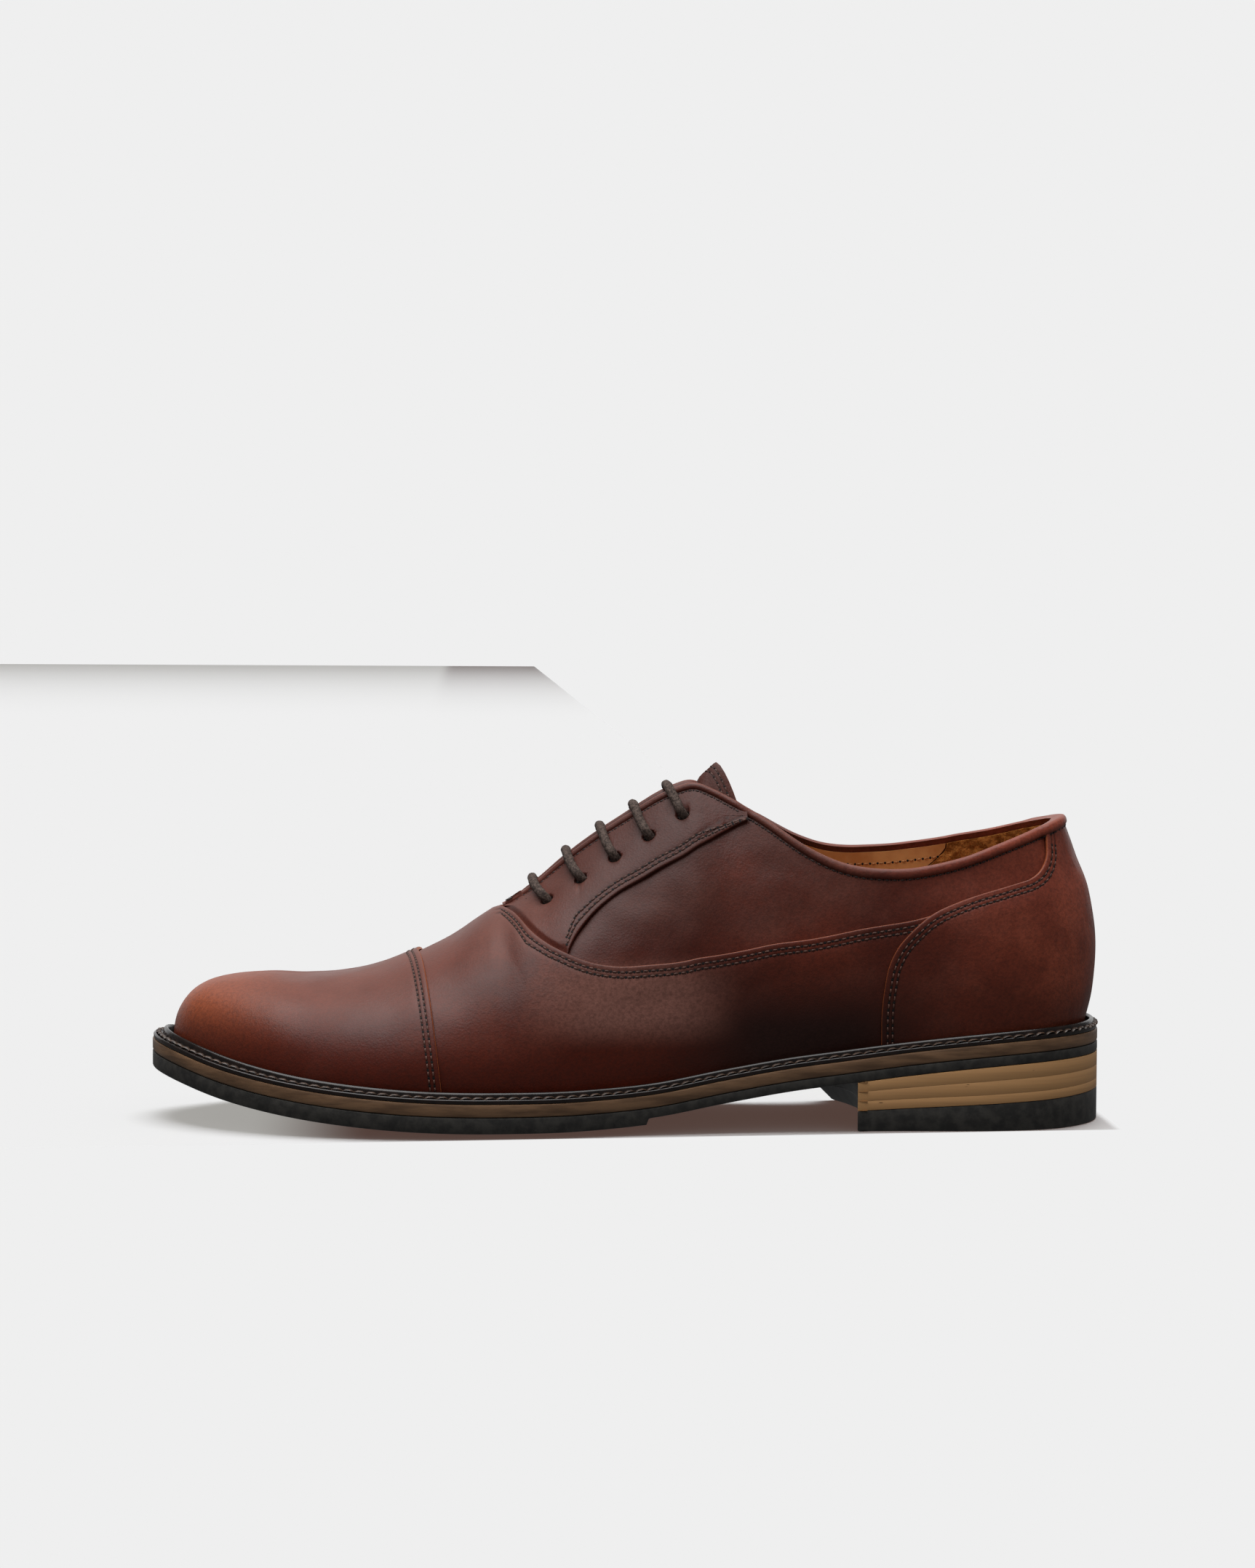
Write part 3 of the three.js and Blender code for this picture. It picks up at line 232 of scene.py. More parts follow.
high_fullness = Spline([[0, 0.6], [30, 0.64], [90, 0.58], [140, 0.5], [200, 0.4], [END, 0.4]])


def surface(side, s, v):
    """Points of the reference surface."""
    s, v = np.broadcast_arrays(np.asarray(s, float), np.asarray(v, float))
    fan = np.maximum(s - FORE_LENGTH, 0) / HEEL_REACH
    x = np.where(s < FORE_LENGTH, x_of(s), HEEL_CENTRE)
    out_x, out_y = np.sin(fan), side * np.cos(fan)
    low = np.interp(s, *feather_radius[side])
    low_z = midsole_top(x + out_x * low) + 0.6
    high = np.where(s > FORE_LENGTH, heel_top_radius(np.degrees(fan)), side * ridge_y(x) + half_gap(x))
    top_x = x + out_x * high
    high_z = np.where(x < THROAT_X, ridge_z(s), opening_z(top_x))
    if side == MEDIAL:
        high_z = high_z + medial_rise(top_x)
    lean, slope = np.radians(lean_out(s)), np.radians(top_slope(s))
    rise = (high_z - low_z) * low_fullness(s)
    reach = (np.abs(low - high) * np.cos(slope) + (high_z - low_z) * np.sin(slope)) * high_fullness(s)
    u = 1 - v
    weights = (u ** 3, 3 * u * u * v, 3 * u * v * v, v ** 3)
    radii = (low, low + rise * np.tan(lean), high + reach * np.cos(slope), high)
    heights = (low_z, low_z + rise, high_z - reach * np.sin(slope), high_z)
    radius = sum(w * r for w, r in zip(weights, radii))
    height = sum(w * z for w, z in zip(weights, heights))
    return np.stack([x + out_x * radius, out_y * radius, height], -1)


def normal(side, s, v):
    here = np.maximum(s, 1.5)
    v0, v1 = np.maximum(v - 0.01, 0), np.minimum(v + 0.01, 1)
    along_s = surface(side, np.minimum(here + 0.4, END), v) - surface(side, np.maximum(here - 0.4, 0.3), v)
    along_v = surface(side, here, v1) - surface(side, here, v0)
    return unit(np.cross(along_s, along_v)) * -side


def on_surface(side, s, v, offset):
    s, v = np.broadcast_arrays(np.asarray(s, float), np.asarray(v, float))
    return surface(side, s, v) + normal(side, s, v) * np.asarray(offset, float)[..., None]


def height_to_v(side, s, z):
    """v of the places on the ribs at s that are z high."""
    low, high = np.zeros_like(s), np.ones_like(s)
    for _ in range(24):
        v = (low + high) / 2
        under = surface(side, s, v)[..., 2] < z
        low, high = np.where(under, v, low), np.where(under, high, v)
    return (low + high) / 2


def locate(side, x, z):
    """s and v of the places seen at (x, z) from the side."""
    low, high = np.zeros_like(x), np.full_like(x, END)
    for _ in range(24):
        s = (low + high) / 2
        ahead = surface(side, s, height_to_v(side, s, z))[..., 0] < x
        low, high = np.where(ahead, s, low), np.where(ahead, high, s)
    s = (low + high) / 2
    return s, height_to_v(side, s, z)


def seam(side, places, count=400):
    """A seam as a dense list of [s, v], through places given as [x, z]."""
    x, z = np.array(places, float).T
    t = run_of(np.column_stack([x, z]))
    s, v = locate(side, x, z)
    return Spline(np.column_stack([t, s, v]))(np.linspace(0, t[-1], count))


VAMP_PLACES = [
    [-36, 65.6], [-31.4, 61.6], [-26, 57.8], [-20, 55], [-12.8, 52.4], [-5, 51.2], [3, 51.4], [19, 53.2],
    [35, 55.7], [50, 58.4], [71, 62.2], [93, 66.4],
]
FACING_PLACES = [[-20, 55], [-17.5, 60], [-12.8, 66], [-5, 72.6], [7, 79.6], [19, 86.2], [38, 95.8]]
COUNTER_PLACES = [
    [77.8, 26.7], [77.8, 37], [78.6, 44.4], [79.8, 50.5], [82.6, 56.4], [87.1, 61.5], [93, 66.4],
    [100.8, 70.1], [108.6, 72.8], [116.9, 74.9], [123.5, 76.6], [128.5, 79.5], [131, 83.5], [131.5, 89.5],
]
vamp_seam = {side: np.vstack([[THROAT_S, 1], seam(side, VAMP_PLACES)]) for side in SIDES}
facing_seam = {side: seam(side, FACING_PLACES) for side in SIDES}
counter_seam = {side: seam(side, COUNTER_PLACES) for side in SIDES}
CORNER_X = -20
CORNER_S = float(station_of(CORNER_X))


def vamp_top(side, s):
    """v of the vamp's top edge."""
    return np.interp(s, vamp_seam[side][:, 0], vamp_seam[side][:, 1])


def facing_low(side, s):
    """v of the facing's low edge, behind the corner."""
    line = facing_seam[side]
    return np.interp(s, line[:, 0], line[:, 1])


EYELET_COUNT = 5
FIRST_EYELET, LAST_EYELET = (-25.9, 70.2), (16.6, 97.0)


def eyelet_place(i):
    """s and v of eyelet i, counted from the toe; both sides match."""
    t = i / (EYELET_COUNT - 1)
    s = station_of(mix(FIRST_EYELET[0], LAST_EYELET[0], t))
    return float(s), float(height_to_v(LATERAL, s, mix(FIRST_EYELET[1], LAST_EYELET[1], t)))


# ---------------------------------------------------------------- materials
def to_linear(red, green, blue):
    """Linear colour of an 8-bit screen colour."""
    parts = [c / 255 for c in (red, green, blue)]
    return tuple(c / 12.92 if c <= 0.04045 else ((c + 0.055) / 1.055) ** 2.4 for c in parts) + (1.0,)


class Look:
    """A node material with short calls for the nodes used here."""

    def __init__(self, name, roughness=0.5, **inputs):
        self.material = bpy.data.materials.new(name)
        self.material.use_nodes = True
        self.tree = self.material.node_tree
        self.shader = self.tree.nodes["Principled BSDF"]
        self.shader.inputs["Roughness"].default_value = roughness
        for key, value in inputs.items():
            self.shader.inputs[key.replace("_", " ").title().replace("Ior", "IOR")].default_value = value
        self.place = self.tree.nodes.new("ShaderNodeTexCoord").outputs["Object"]

    def feed(self, node, inputs):
        """Links sockets to a node's inputs, and sets plain values on them."""
        for key, value in inputs:
            if isinstance(value, bpy.types.NodeSocket):
                self.tree.links.new(value, node.inputs[key])
            else:
                node.inputs[key].default_value = value
        return node

    def node(self, kind, links=None, **settings):
        made = self.tree.nodes.new("ShaderNode" + kind)
        for key, value in settings.items():
            setattr(made, key, value)
        return self.feed(made, (links or {}).items())

    def stretched(self, scale, turn=(0, 0, 0)):
        links = {"Vector": self.place, "Scale": scale, "Rotation": turn}
        return self.node("Mapping", links).outputs["Vector"]

    def noise(self, scale, detail=3.0, roughness=0.5, vector=None, distortion=0.0):
        links = {"Vector": vector or self.place, "Scale": scale, "Detail": detail, "Roughness": roughness,
                 "Distortion": distortion}
        return self.node("TexNoise", links).outputs["Fac"]

    def cells(self, scale, vector=None, feature="F1"):
        links = {"Vector": vector or self.place, "Scale": scale}
        return self.node("TexVoronoi", links, feature=feature).outputs["Distance"]

    def ramp(self, value, low, high, out_low=0.0, out_high=1.0):
        links = {"Value": value, "From Min": low, "From Max": high, "To Min": out_low, "To Max": out_high}
        return self.node("MapRange", links, interpolation_type="SMOOTHSTEP").outputs["Result"]

    def zone(self, *ramps):
        """Product of ramps, each the arguments of one."""
        product = self.ramp(*ramps[0])
        for each in ramps[1:]:
            product = self.math("MULTIPLY", product, self.ramp(*each))
        return product

    def mixed(self, factor, a, b, blend="MIX"):
        made = self.node("Mix", data_type="RGBA", blend_type=blend)
        return self.feed(made, ((0, factor), (6, a), (7, b))).outputs[2]

    def math(self, operation, a, b=0.0):
        return self.feed(self.node("Math", operation=operation), ((0, a), (1, b))).outputs[0]

    def attribute(self, name):
        return self.node("Attribute", attribute_name=name).outputs["Fac"]

    def axes(self):
        return self.node("SeparateXYZ", {"Vector": self.place}).outputs

    def paint(self, colour):
        self.tree.links.new(colour, self.shader.inputs["Base Color"])

    def gloss(self, value):
        self.tree.links.new(value, self.shader.inputs["Roughness"])

    def glow(self, colour, strength=1.0):
        self.feed(self.shader, (("Emission Color", colour), ("Emission Strength", strength)))

    def bump(self, *layers):
        """Each layer is (height, strength, distance in millimetres)."""
        last = None
        for height, strength, distance in layers:
            links = {"Height": height, "Strength": strength, "Distance": distance * MM}
            if last is not None:
                links["Normal"] = last
            last = self.node("Bump", links).outputs["Normal"]
        self.tree.links.new(last, self.shader.inputs["Normal"])


def leather_look(name, lift=1.0, edge_warmth=1.0):
    """Waxed pull-up leather: a red-brown ground with tones by zone and a fine grain; some tones are painted
    shade and painted sheen.
    """
    look = Look(name, roughness=0.45, specular_ior_level=0.22)
    x, _, z = look.axes()[:3]
    clouds = look.noise(15, 3, 0.5)
    patches = look.noise(48, 4, 0.6)
    fine = look.noise(900, 4, 0.65)
    colour = look.mixed(look.ramp(clouds, 0.38, 0.62), to_linear(74, 30, 21), to_linear(104, 44, 29))
    # upward is how far the surface faces up; the last tone uses it for a painted sheen on the leather's top.
    upward = look.node("SeparateXYZ", {"Vector": look.node("NewGeometry").outputs["Normal"]}).outputs[2]
    tones = [
        ("waxy patches", (114, 60, 46), (patches, 0.45, 0.75, 0.0, 0.55)),
        ("quarters", (70, 42, 36), (z, 0.05, 0.07), (x, 0.085, 0.05), (patches, 0.3, 0.6, 0.2, 0.5)),
        ("toe", (158, 82, 50), (x, -0.095, -0.14), (z, 0.022, 0.04, 0.2, 1.0)),
        ("heel", (140, 68, 47), (x, 0.09, 0.145), (patches, 0.35, 0.6, 0.2, 0.75)),
        ("rear of the top line", (132, 62, 46), (x, 0.072, 0.1), (z, 0.055, 0.075, 0.0, 0.45)),
        # Darker and redder low down over the welt, most toward the front: painted shade.
        ("painted shade over the welt", (84, 27, 13), (z, 0.045, 0.018, 0.0, 0.8), (x, 0.1, 0.06, 0.25, 1.0)),
        # Near-black in the hollow of the waist: painted shade.
        ("waist", (28, 13, 10), (x, -0.012, 0.044), (x, 0.11, 0.066, 0.3, 1.0), (z, 0.058, 0.03, 0.0, 0.95)),
        # Paler greyish patch on the vamp under the lacing: painted highlight (sheen).
        ("painted sheen under the lacing", (142, 98, 87), (x, -0.04, -0.006), (x, 0.036, 0.012), (z, 0.025, 0.036),
         (z, 0.056, 0.044, 0.0, 0.8)),
        ("grain", (48, 24, 19), (fine, 0.35, 0.7, 0.0, 0.4)),
        # Paler where the surface faces up: painted sheen from the light above.
        ("painted sheen where it faces up", (140, 96, 86), (upward, 0.55, 0.98, 0.0, 0.4)),
    ]
    for _, tone, *ramps in tones:
        colour = look.mixed(look.zone(*ramps), colour, to_linear(*tone))
    edge = look.math("MULTIPLY", look.ramp(look.attribute("edge"), 0.45, 1.0), edge_warmth)
    colour = look.mixed(edge, colour, to_linear(176, 96, 54))
    # Darker along the stitch grooves: painted shade; near black where groove is large, at the lace holes:
    # painted shadow in them.
    groove = look.attribute("groove")
    colour = look.mixed(look.ramp(groove, 0.0, 1.0, 0.0, 0.6), colour, to_linear(34, 16, 13))
    colour = look.mixed(look.ramp(groove, 1.6, 2.4), colour, to_linear(9, 6, 5))
    # lift above 1 lightens a whole copy of the leather: painted light.
    if lift != 1.0:
        colour = look.mixed(1.0, colour, (lift, lift, lift, 1.0), "MULTIPLY")
    look.paint(colour)
    look.gloss(look.ramp(patches, 0.3, 0.7, 0.4, 0.52))
    pores = look.cells(1500)
    wrinkles = look.cells(420, look.stretched((1.0, 1.0, 0.45), (0, 0.5, 0)), "SMOOTH_F1")
    worn = look.math("MULTIPLY", wrinkles, look.ramp(x, 0.0, 0.06, 0.1, 1.0))
    look.bump((worn, 0.26, 0.5), (fine, 0.24, 0.2), (pores, 0.24, 0.15))
    return look.material


def simple_look(name, dark, light, scale, roughness, bumps, stretch=(1, 1, 1), **inputs):
    """Two colours in a noise, over a bumpy ground."""
    look = Look(name, roughness=roughness, **inputs)
    vector = look.stretched(stretch)
    grain = look.noise(scale, 4, 0.6, vector)
    look.paint(look.mixed(look.ramp(grain, 0.32, 0.68), to_linear(*dark), to_linear(*light)))
    look.bump(*[(look.noise(size, 3, 0.6, vector), strength, depth) for size, strength, depth in bumps])
    return look.material


def stack_look():
    """Stacked sole leather: faint level bands, fine fibres and short dark pits."""
    look = Look("stacked_leather", roughness=0.55, specular_ior_level=0.35)
    tilt = (0, 0.045, 0)
    bands = look.noise(26, 2, 0.5, look.stretched((0.02, 0.02, 9.0), tilt))
    fibres = look.noise(700, 3, 0.6, look.stretched((0.04, 0.04, 2.2), tilt))
    pits = look.cells(420, look.stretched((0.3, 0.3, 1.6), tilt))
    few = look.ramp(look.noise(150, 2, 0.5), 0.53, 0.6)
    colour = look.mixed(look.ramp(bands, 0.35, 0.65), to_linear(172, 130, 86), to_linear(182, 138, 92))
    colour = look.mixed(look.ramp(fibres, 0.4, 0.75, 0.0, 0.22), colour, to_linear(132, 96, 62))
    fleck = look.math("MULTIPLY", look.ramp(pits, 0.12, 0.05), few)
    look.paint(look.mixed(fleck, colour, to_linear(52, 34, 22)))
    look.bump((bands, 0.08, 0.2), (fibres, 0.2, 0.12), (fleck, -0.4, 0.2))
    return look.material


def lace_look():
    look = Look("waxed_cotton", roughness=0.8, specular_ior_level=0.25)
    lint = look.noise(1400, 4, 0.7)
    look.paint(look.mixed(look.ramp(lint, 0.35, 0.7), to_linear(46, 36, 32), to_linear(104, 88, 80)))
    look.bump((look.noise(2600, 3, 0.7), 0.6, 0.25), (lint, 0.4, 0.3))
    return look.material


LEATHER = leather_look("pull_up_leather", edge_warmth=0.45)
CAP_LEATHER = leather_look("pull_up_leather_cap", edge_warmth=1.0)
FACING_LEATHER = leather_look("pull_up_leather_facing", edge_warmth=0.0)
# The binding roll is a lighter copy of the upper's leather: painted light on the rounded roll.
BINDING = leather_look("pull_up_leather_binding", 1.25)
LINING = simple_look("lining_leather", (194, 124, 70), (222, 158, 98), 70, 0.5,
                     [(900, 0.12, 0.2), (60, 0.15, 1.0)], specular_ior_level=0.35)
SUEDE = simple_look("heel_grip_suede", (120, 68, 26), (200, 130, 66), 420, 0.95,
                    [(700, 0.8, 0.8), (1800, 0.6, 0.4)], specular_ior_level=0.1)
SOCK = simple_look("sock_leather", (170, 108, 60), (192, 132, 80), 50, 0.5, [(1000, 0.12, 0.2)])
# Near-black dots on the leather at the needle holes: painted shade.
NEEDLE_HOLE_SHADE = simple_look("needle_hole_shade", (10, 6, 5), (16, 9, 8), 900, 0.9, [(900, 0.1, 0.1)])
WELT = simple_look("burnished_welt", (12, 7, 6), (28, 17, 13), 260, 0.24,
                   [(500, 0.12, 0.3), (70, 0.15, 0.8)], specular_ior_level=0.4)
WELT_THREAD = simple_look("waxed_welt_thread", (30, 20, 15), (78, 58, 44), 900, 0.4,
                          [(1500, 0.35, 0.2)], specular_ior_level=0.5)
THREAD = simple_look("upper_thread", (56, 33, 26), (98, 64, 52), 1600, 0.6, [(2500, 0.4, 0.15)])
EDGE_THREAD = simple_look("dark_edge_thread", (26, 14, 12), (52, 30, 25), 1600, 0.6, [(2500, 0.4, 0.15)])
LINING_THREAD = simple_look("lining_thread", (150, 92, 48), (196, 136, 82), 1600, 0.6, [(2500, 0.4, 0.15)])
MIDSOLE = simple_look("sole_leather_edge", (84, 61, 42), (118, 89, 64), 150, 0.42,
                      [(700, 0.2, 0.15), (180, 0.15, 0.3)], (0.4, 0.4, 3.0), specular_ior_level=0.45)
RUBBER = simple_look("sole_rubber", (33, 32, 31), (54, 52, 49), 300, 0.5,
                     [(1200, 0.2, 0.15), (90, 0.1, 0.5)], specular_ior_level=0.35)
STACK = stack_look()
LACE = lace_look()
BOARD = simple_look("leather_board", (140, 108, 74), (172, 138, 98), 300, 0.9, [(800, 0.3, 0.3)])
CORK = simple_look("ground_cork", (110, 78, 44), (176, 134, 84), 420, 0.9, [(500, 0.6, 0.6)])
STEEL = simple_look("spring_steel", (120, 120, 118), (158, 158, 155), 300, 0.32, [(900, 0.1, 0.05)],
                    metallic=1.0)
BRASS = simple_look("aged_brass", (110, 84, 46), (160, 128, 76), 500, 0.38, [(900, 0.1, 0.05)], metallic=1.0)
PLASTIC = simple_look("aglet_film", (28, 24, 22), (44, 38, 34), 600, 0.25, [(800, 0.1, 0.05)])


# ---------------------------------------------------------------- meshes
def add_mesh(name, points, faces, look, slot, stands_for=(), body="shoe", values=None, sharp=48.0):
    """A closed mesh from points in millimetres, riding on a body and standing for CAD nodes."""
    mesh = bpy.data.meshes.new(name)
    mesh.from_pydata((np.asarray(points) * MM).tolist(), [], faces)
    work = bmesh.new()
    work.from_mesh(mesh)
    bmesh.ops.recalc_face_normals(work, faces=work.faces)
    work.to_mesh(mesh)
    work.free()
    for key, data in (values or {}).items():
        mesh.attributes.new(key, "FLOAT", "POINT").data.foreach_set("value", np.asarray(data, np.float32))
    mesh.polygons.foreach_set("use_smooth", [True] * len(mesh.polygons))
    mesh.set_sharp_from_angle(angle=math.radians(sharp))
    mesh.materials.append(look)
    made = bpy.data.objects.new(name, mesh)
    bpy.context.scene.collection.objects.link(made)
    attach(made, body)
    if stands_for:
        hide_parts(*stands_for)
    return made


def grid_faces(ids, close=False):
    """Faces of a grid of vertex ids; close joins its last row to its first."""
    rows, columns = ids.shape
    faces = []
    for i in range(rows if close else rows - 1):
        a, b = ids[i], ids[(i + 1) % rows]
        for j in range(columns - 1):
            face = list(dict.fromkeys((int(a[j]), int(b[j]), int(b[j + 1]), int(a[j + 1]))))
            if len(face) > 2:
                faces.append(face)
    return faces


def tube_faces(rows, columns, close=False):
    """Faces of a tube of round sections, joined into a ring or with both ends capped."""
    ids = np.arange(rows * columns).reshape(rows, columns)
    faces = grid_faces(np.column_stack([ids, ids[:, 0]]), close)
    return faces if close else faces + [ids[0].tolist(), ids[-1][::-1].tolist()]


def add_shell(name, nets, look, slot, **more):
    """A closed sheet from nets of {key, low, high, edge, groove}; open borders get walls."""
    keys = np.concatenate([net["key"].reshape(-1, 3) for net in nets])
    _, first, ids = np.unique(np.floor(keys * 100 + 0.317), axis=0, return_index=True, return_inverse=True)
    ids = ids.reshape(-1)

    def gathered(field):
        parts = [np.asarray(net[field], float).reshape(-1, *net[field].shape[2:]) for net in nets]
        return np.concatenate(parts)[first]

    high, low = gathered("high"), gathered("low")
    edge, groove = gathered("edge"), gathered("groove")
    count, start, faces = len(first), 0, []
    for net in nets:
        shape = net["key"].shape[:2]
        size = shape[0] * shape[1]
        faces += grid_faces(ids[start:start + size].reshape(shape))
        start += size
    used = {}
    for face in faces:
        for a, b in zip(face, face[1:] + face[:1]):
            key = (min(a, b), max(a, b))
            used[key] = None if key in used else (a, b)
    walls = [pair for pair in used.values() if pair]
    solid = faces + [[i + count for i in reversed(face)] for face in faces]
    solid += [[b, a, a + count, b + count] for a, b in walls]
    on_wall = np.zeros(count)
    on_wall[[i for pair in walls for i in pair]] = 1
    values = {"edge": np.concatenate([edge, edge * on_wall]), "groove": np.concatenate([groove, groove * 0])}
    return add_mesh(name, np.vstack([high, low]), solid, look, slot, values=values, **more)


# ---------------------------------------------------------------- leather relief
EDGE_RADIUS = 0.45
STITCH_ROWS = (1.85, 3.4)
NEAR = np.array([0, 0.08, 0.2, 0.4, 0.8, 1.3, 1.6, 1.85, 2.1, 2.6, 3.15, 3.4, 3.65, 4.2, 5.4, 7.2, 9.5])
ROW_ENTRY = [int(np.argmin(abs(NEAR - row))) for row in STITCH_ROWS]
FAR = 99.0


def edge_drop(distance):
    """How far a cut edge of leather has rounded off at a distance from it."""
    near = np.clip(distance, 0, EDGE_RADIUS)
    return EDGE_RADIUS - np.sqrt(EDGE_RADIUS ** 2 - (EDGE_RADIUS - near) ** 2)


def groove_at(distance, rows=STITCH_ROWS):
    """1 under a stitch row and 0 away from it."""
    return sum((np.exp(-((distance - row) / 0.33) ** 2) for row in rows), np.zeros_like(distance))


def waviness(points, size, seed):
    """Soft noise of the given size in millimetres, about -1 to 1."""
    flat = points.reshape(-1, 3) / size + seed
    return np.array([noise.noise(Vector(p)) for p in flat.tolist()]).reshape(points.shape[:-1]) * 1.6


def net(side, s, v, low, high, distance, rows=STITCH_ROWS, lap=0.0, seed=3.1, rough=0.16):
    """One net of an upper layer: distance is how far each point is from its nearest cut edge."""
    s, v, distance = np.broadcast_arrays(s, v, distance)
    base = surface(side, s, v)
    groove = groove_at(distance, rows)
    relief = 0.1 * waviness(base, 9.0, seed) * (rough / 0.16) + rough * waviness(base, 28.0, seed + 5)
    relief *= smooth_step(distance, 0.5, 12)
    top = high - edge_drop(distance) - 0.17 * groove + lap * (1 - smooth_step(distance, 5, 12)) + relief
    return {
        "key": base,
        "low": on_surface(side, s, v, np.broadcast_to(low, s.shape)),
        "high": on_surface(side, s, v, top),
        "edge": 1 - smooth_step(distance, 0.0, 0.3),
        "groove": groove,
    }


def per_mm(side, s, v, along):
    """Change of v for one millimetre square to a boundary that runs along (s, v)."""
    up = surface(side, s, np.minimum(v + 0.005, 1.0)) - surface(side, s, np.maximum(v - 0.005, 0.0))
    length = np.linalg.norm(up, axis=-1) / (np.minimum(v + 0.005, 1.0) - np.maximum(v - 0.005, 0.0))
    tangent = unit(np.gradient(along, axis=0))
    sine = np.linalg.norm(np.cross(tangent, unit(up)), axis=-1)
    return 1 / (length * np.maximum(sine, 0.4))


def up_ribs(side, s):
    """Directions in which the ribs reach the top line."""
    return unit(surface(side, s, np.ones_like(s)) - surface(side, s, np.full_like(s, 0.98)))


def below_top(side, s, distance):
    """v at a distance below the top line."""
    ones = np.ones_like(s)
    return 1 - distance * per_mm(side, s, ones, surface(side, s, ones))


def rows_between(bottom, top, near_bottom, near_top, count):
    """Rows of v: close together by the two ends. near_* are v per millimetre, or None for a plain end."""
    low = bottom[:, None] if near_bottom is None else bottom[:, None] + NEAR * near_bottom[:, None]
    high = top[:, None] if near_top is None else top[:, None] - NEAR[::-1] * near_top[:, None]
    t = np.linspace(0, 1, count + 1)[1:-1]
    middle = mix(low[:, -1:], high[:, :1], t)
    distance = np.full((1, low.shape[1] + middle.shape[1] + high.shape[1]), FAR)
    if near_bottom is not None:
        distance[0, :low.shape[1]] = NEAR
    if near_top is not None:
        distance[0, -high.shape[1]:] = NEAR[::-1]
    return np.concatenate([low, middle, high], axis=1), distance


def stamped(lines, pitch, at_ends, template, part, turned):
    """Points and faces of a small shape repeated along lines of (points, normals)."""
    points, faces, base = [], [], 0
    for line, up in lines:
        run = run_of(line)
        count = int(run[-1] / pitch)
        steps = np.arange(count + 1) if at_ends else np.arange(count) + 0.5

        def along(values, shift=0.0):
            return resampled(values, run, steps * run[-1] / count + shift)

        n = unit(along(up))
        for c, a, b, nn in zip(along(line), *turned(n, unit(along(line, 0.3) - along(line, -0.3))), n):
            points.append(c + template[:, :1] * a + template[:, 1:2] * b + template[:, 2:] * nn)
            faces += [[base + i for i in face] for face in part]
            base += len(template)
    return np.vstack(points), faces


def stitch_mesh(lines, pitch, length, width, height, skew=0.0):
    """Points and faces of thread stitches, six-sided and sunk at both ends."""
    sections = [(-1.0, 0.35, -0.9), (-0.8, 0.75, -0.1), (-0.35, 1.0, 0.45)]
    sections += [(-t, swell, lift) for t, swell, lift in reversed(sections)]
    template = []
    for t, swell, lift in sections:
        for a in np.arange(6) * math.pi / 3:
            ring = swell * width / 2 * math.cos(a), height * (lift + 0.5 * swell * math.sin(a))
            template.append([t * length / 2, *ring])

    def turned(n, t):
        b = unit(np.cross(n, t))
        return t * math.cos(skew) + b * math.sin(skew), b * math.cos(skew) - t * math.sin(skew)

    return stamped(lines, pitch, False, np.array(template), tube_faces(len(sections), 6), turned)


def hole_mesh(lines, pitch, radius):
    """Small dark dots of painted shade where the needle went through, between the stitches of the same lines.
    """
    angles = np.arange(7) * 2 * math.pi / 7
    ring = np.column_stack([radius * np.cos(angles), radius * np.sin(angles), 0 * angles])
    template = np.vstack([ring, [[0, 0, 0.12], [0, 0, -0.2]]])
    part = [[i, (i + 1) % 7, 7] for i in range(7)] + [[(i + 1) % 7, i, 8] for i in range(7)]

    def turned(n, _):
        a = unit(np.cross(n, np.array([0.3, 0.2, 0.9])))
        return a, np.cross(n, a)

    return stamped(lines, pitch, True, template, part, turned)


STITCH_PITCH = 2.4
STITCH_LENGTH, STITCH_WIDTH, STITCH_HEIGHT = 0.7 * STITCH_PITCH, 0.5, 0.3
NEEDLE_RADIUS = 0.42
STITCH_RISE = 0.02


def add_stitches(name, lines, look=THREAD, body="shoe"):
    points, faces = stitch_mesh(lines, STITCH_PITCH, STITCH_LENGTH, STITCH_WIDTH, STITCH_HEIGHT)
    add_mesh(name, points, faces, look, "sole_thread", body=body, sharp=80)
    # Dark dots at the needle holes between the stitches: painted shade.
    points, faces = hole_mesh(lines, STITCH_PITCH, NEEDLE_RADIUS)
    add_mesh(name + "_needle_holes", points, faces, NEEDLE_HOLE_SHADE, "sole_thread", body=body, sharp=80)


def seam_line(side, s, v, offset):
    return on_surface(side, s, v, np.full(np.shape(s), offset)), normal(side, s, v)


# ---------------------------------------------------------------- upper leather
CAP = (0.3, 1.2)
VAMP = (-0.9, 0.0)
FACING = (-1.1, -0.2)
QUARTER = (-2.4, -1.5)
LINING_LAYER = (-3.5, -2.8)
TONGUE_LAYER = (-8.6, -7.7)
TONGUE_LINING_LAYER = (-9.7, -8.9)
UNDERLAP = 8.0
COUNTER_THICKNESS, COUNTER_ON_QUARTER, COUNTER_ROWS_REACH = 0.9, 0.1, 5


def cap_end(v):
    return station_of(-66 + 8 * (1 - v))


def make_toe_cap():
    v = np.linspace(0, 1, 44)
    nets, lines = [], []
    for side in SIDES:
        end = cap_end(v)
        inner = np.linspace(0, 1, 66)[:, None] * (end - NEAR[-1])[None, :]
        s = np.vstack([inner, end[None, :] - NEAR[-2::-1, None]])
        distance = np.concatenate([np.full(len(inner) - 1, FAR), NEAR[::-1]])[:, None]
        nets.append(net(side, s, v[None, :], CAP[0], CAP[1], distance, lap=0.1))
        fine = np.linspace(0.03, 1, 80)
        lines += [seam_line(side, cap_end(fine) - row, fine, CAP[1] + STITCH_RISE) for row in STITCH_ROWS]
    add_shell("toe_cap_leather", nets, CAP_LEATHER, "upper_leather", stands_for=["toe_cap"])
    add_stitches("stitching_toe_cap", lines)


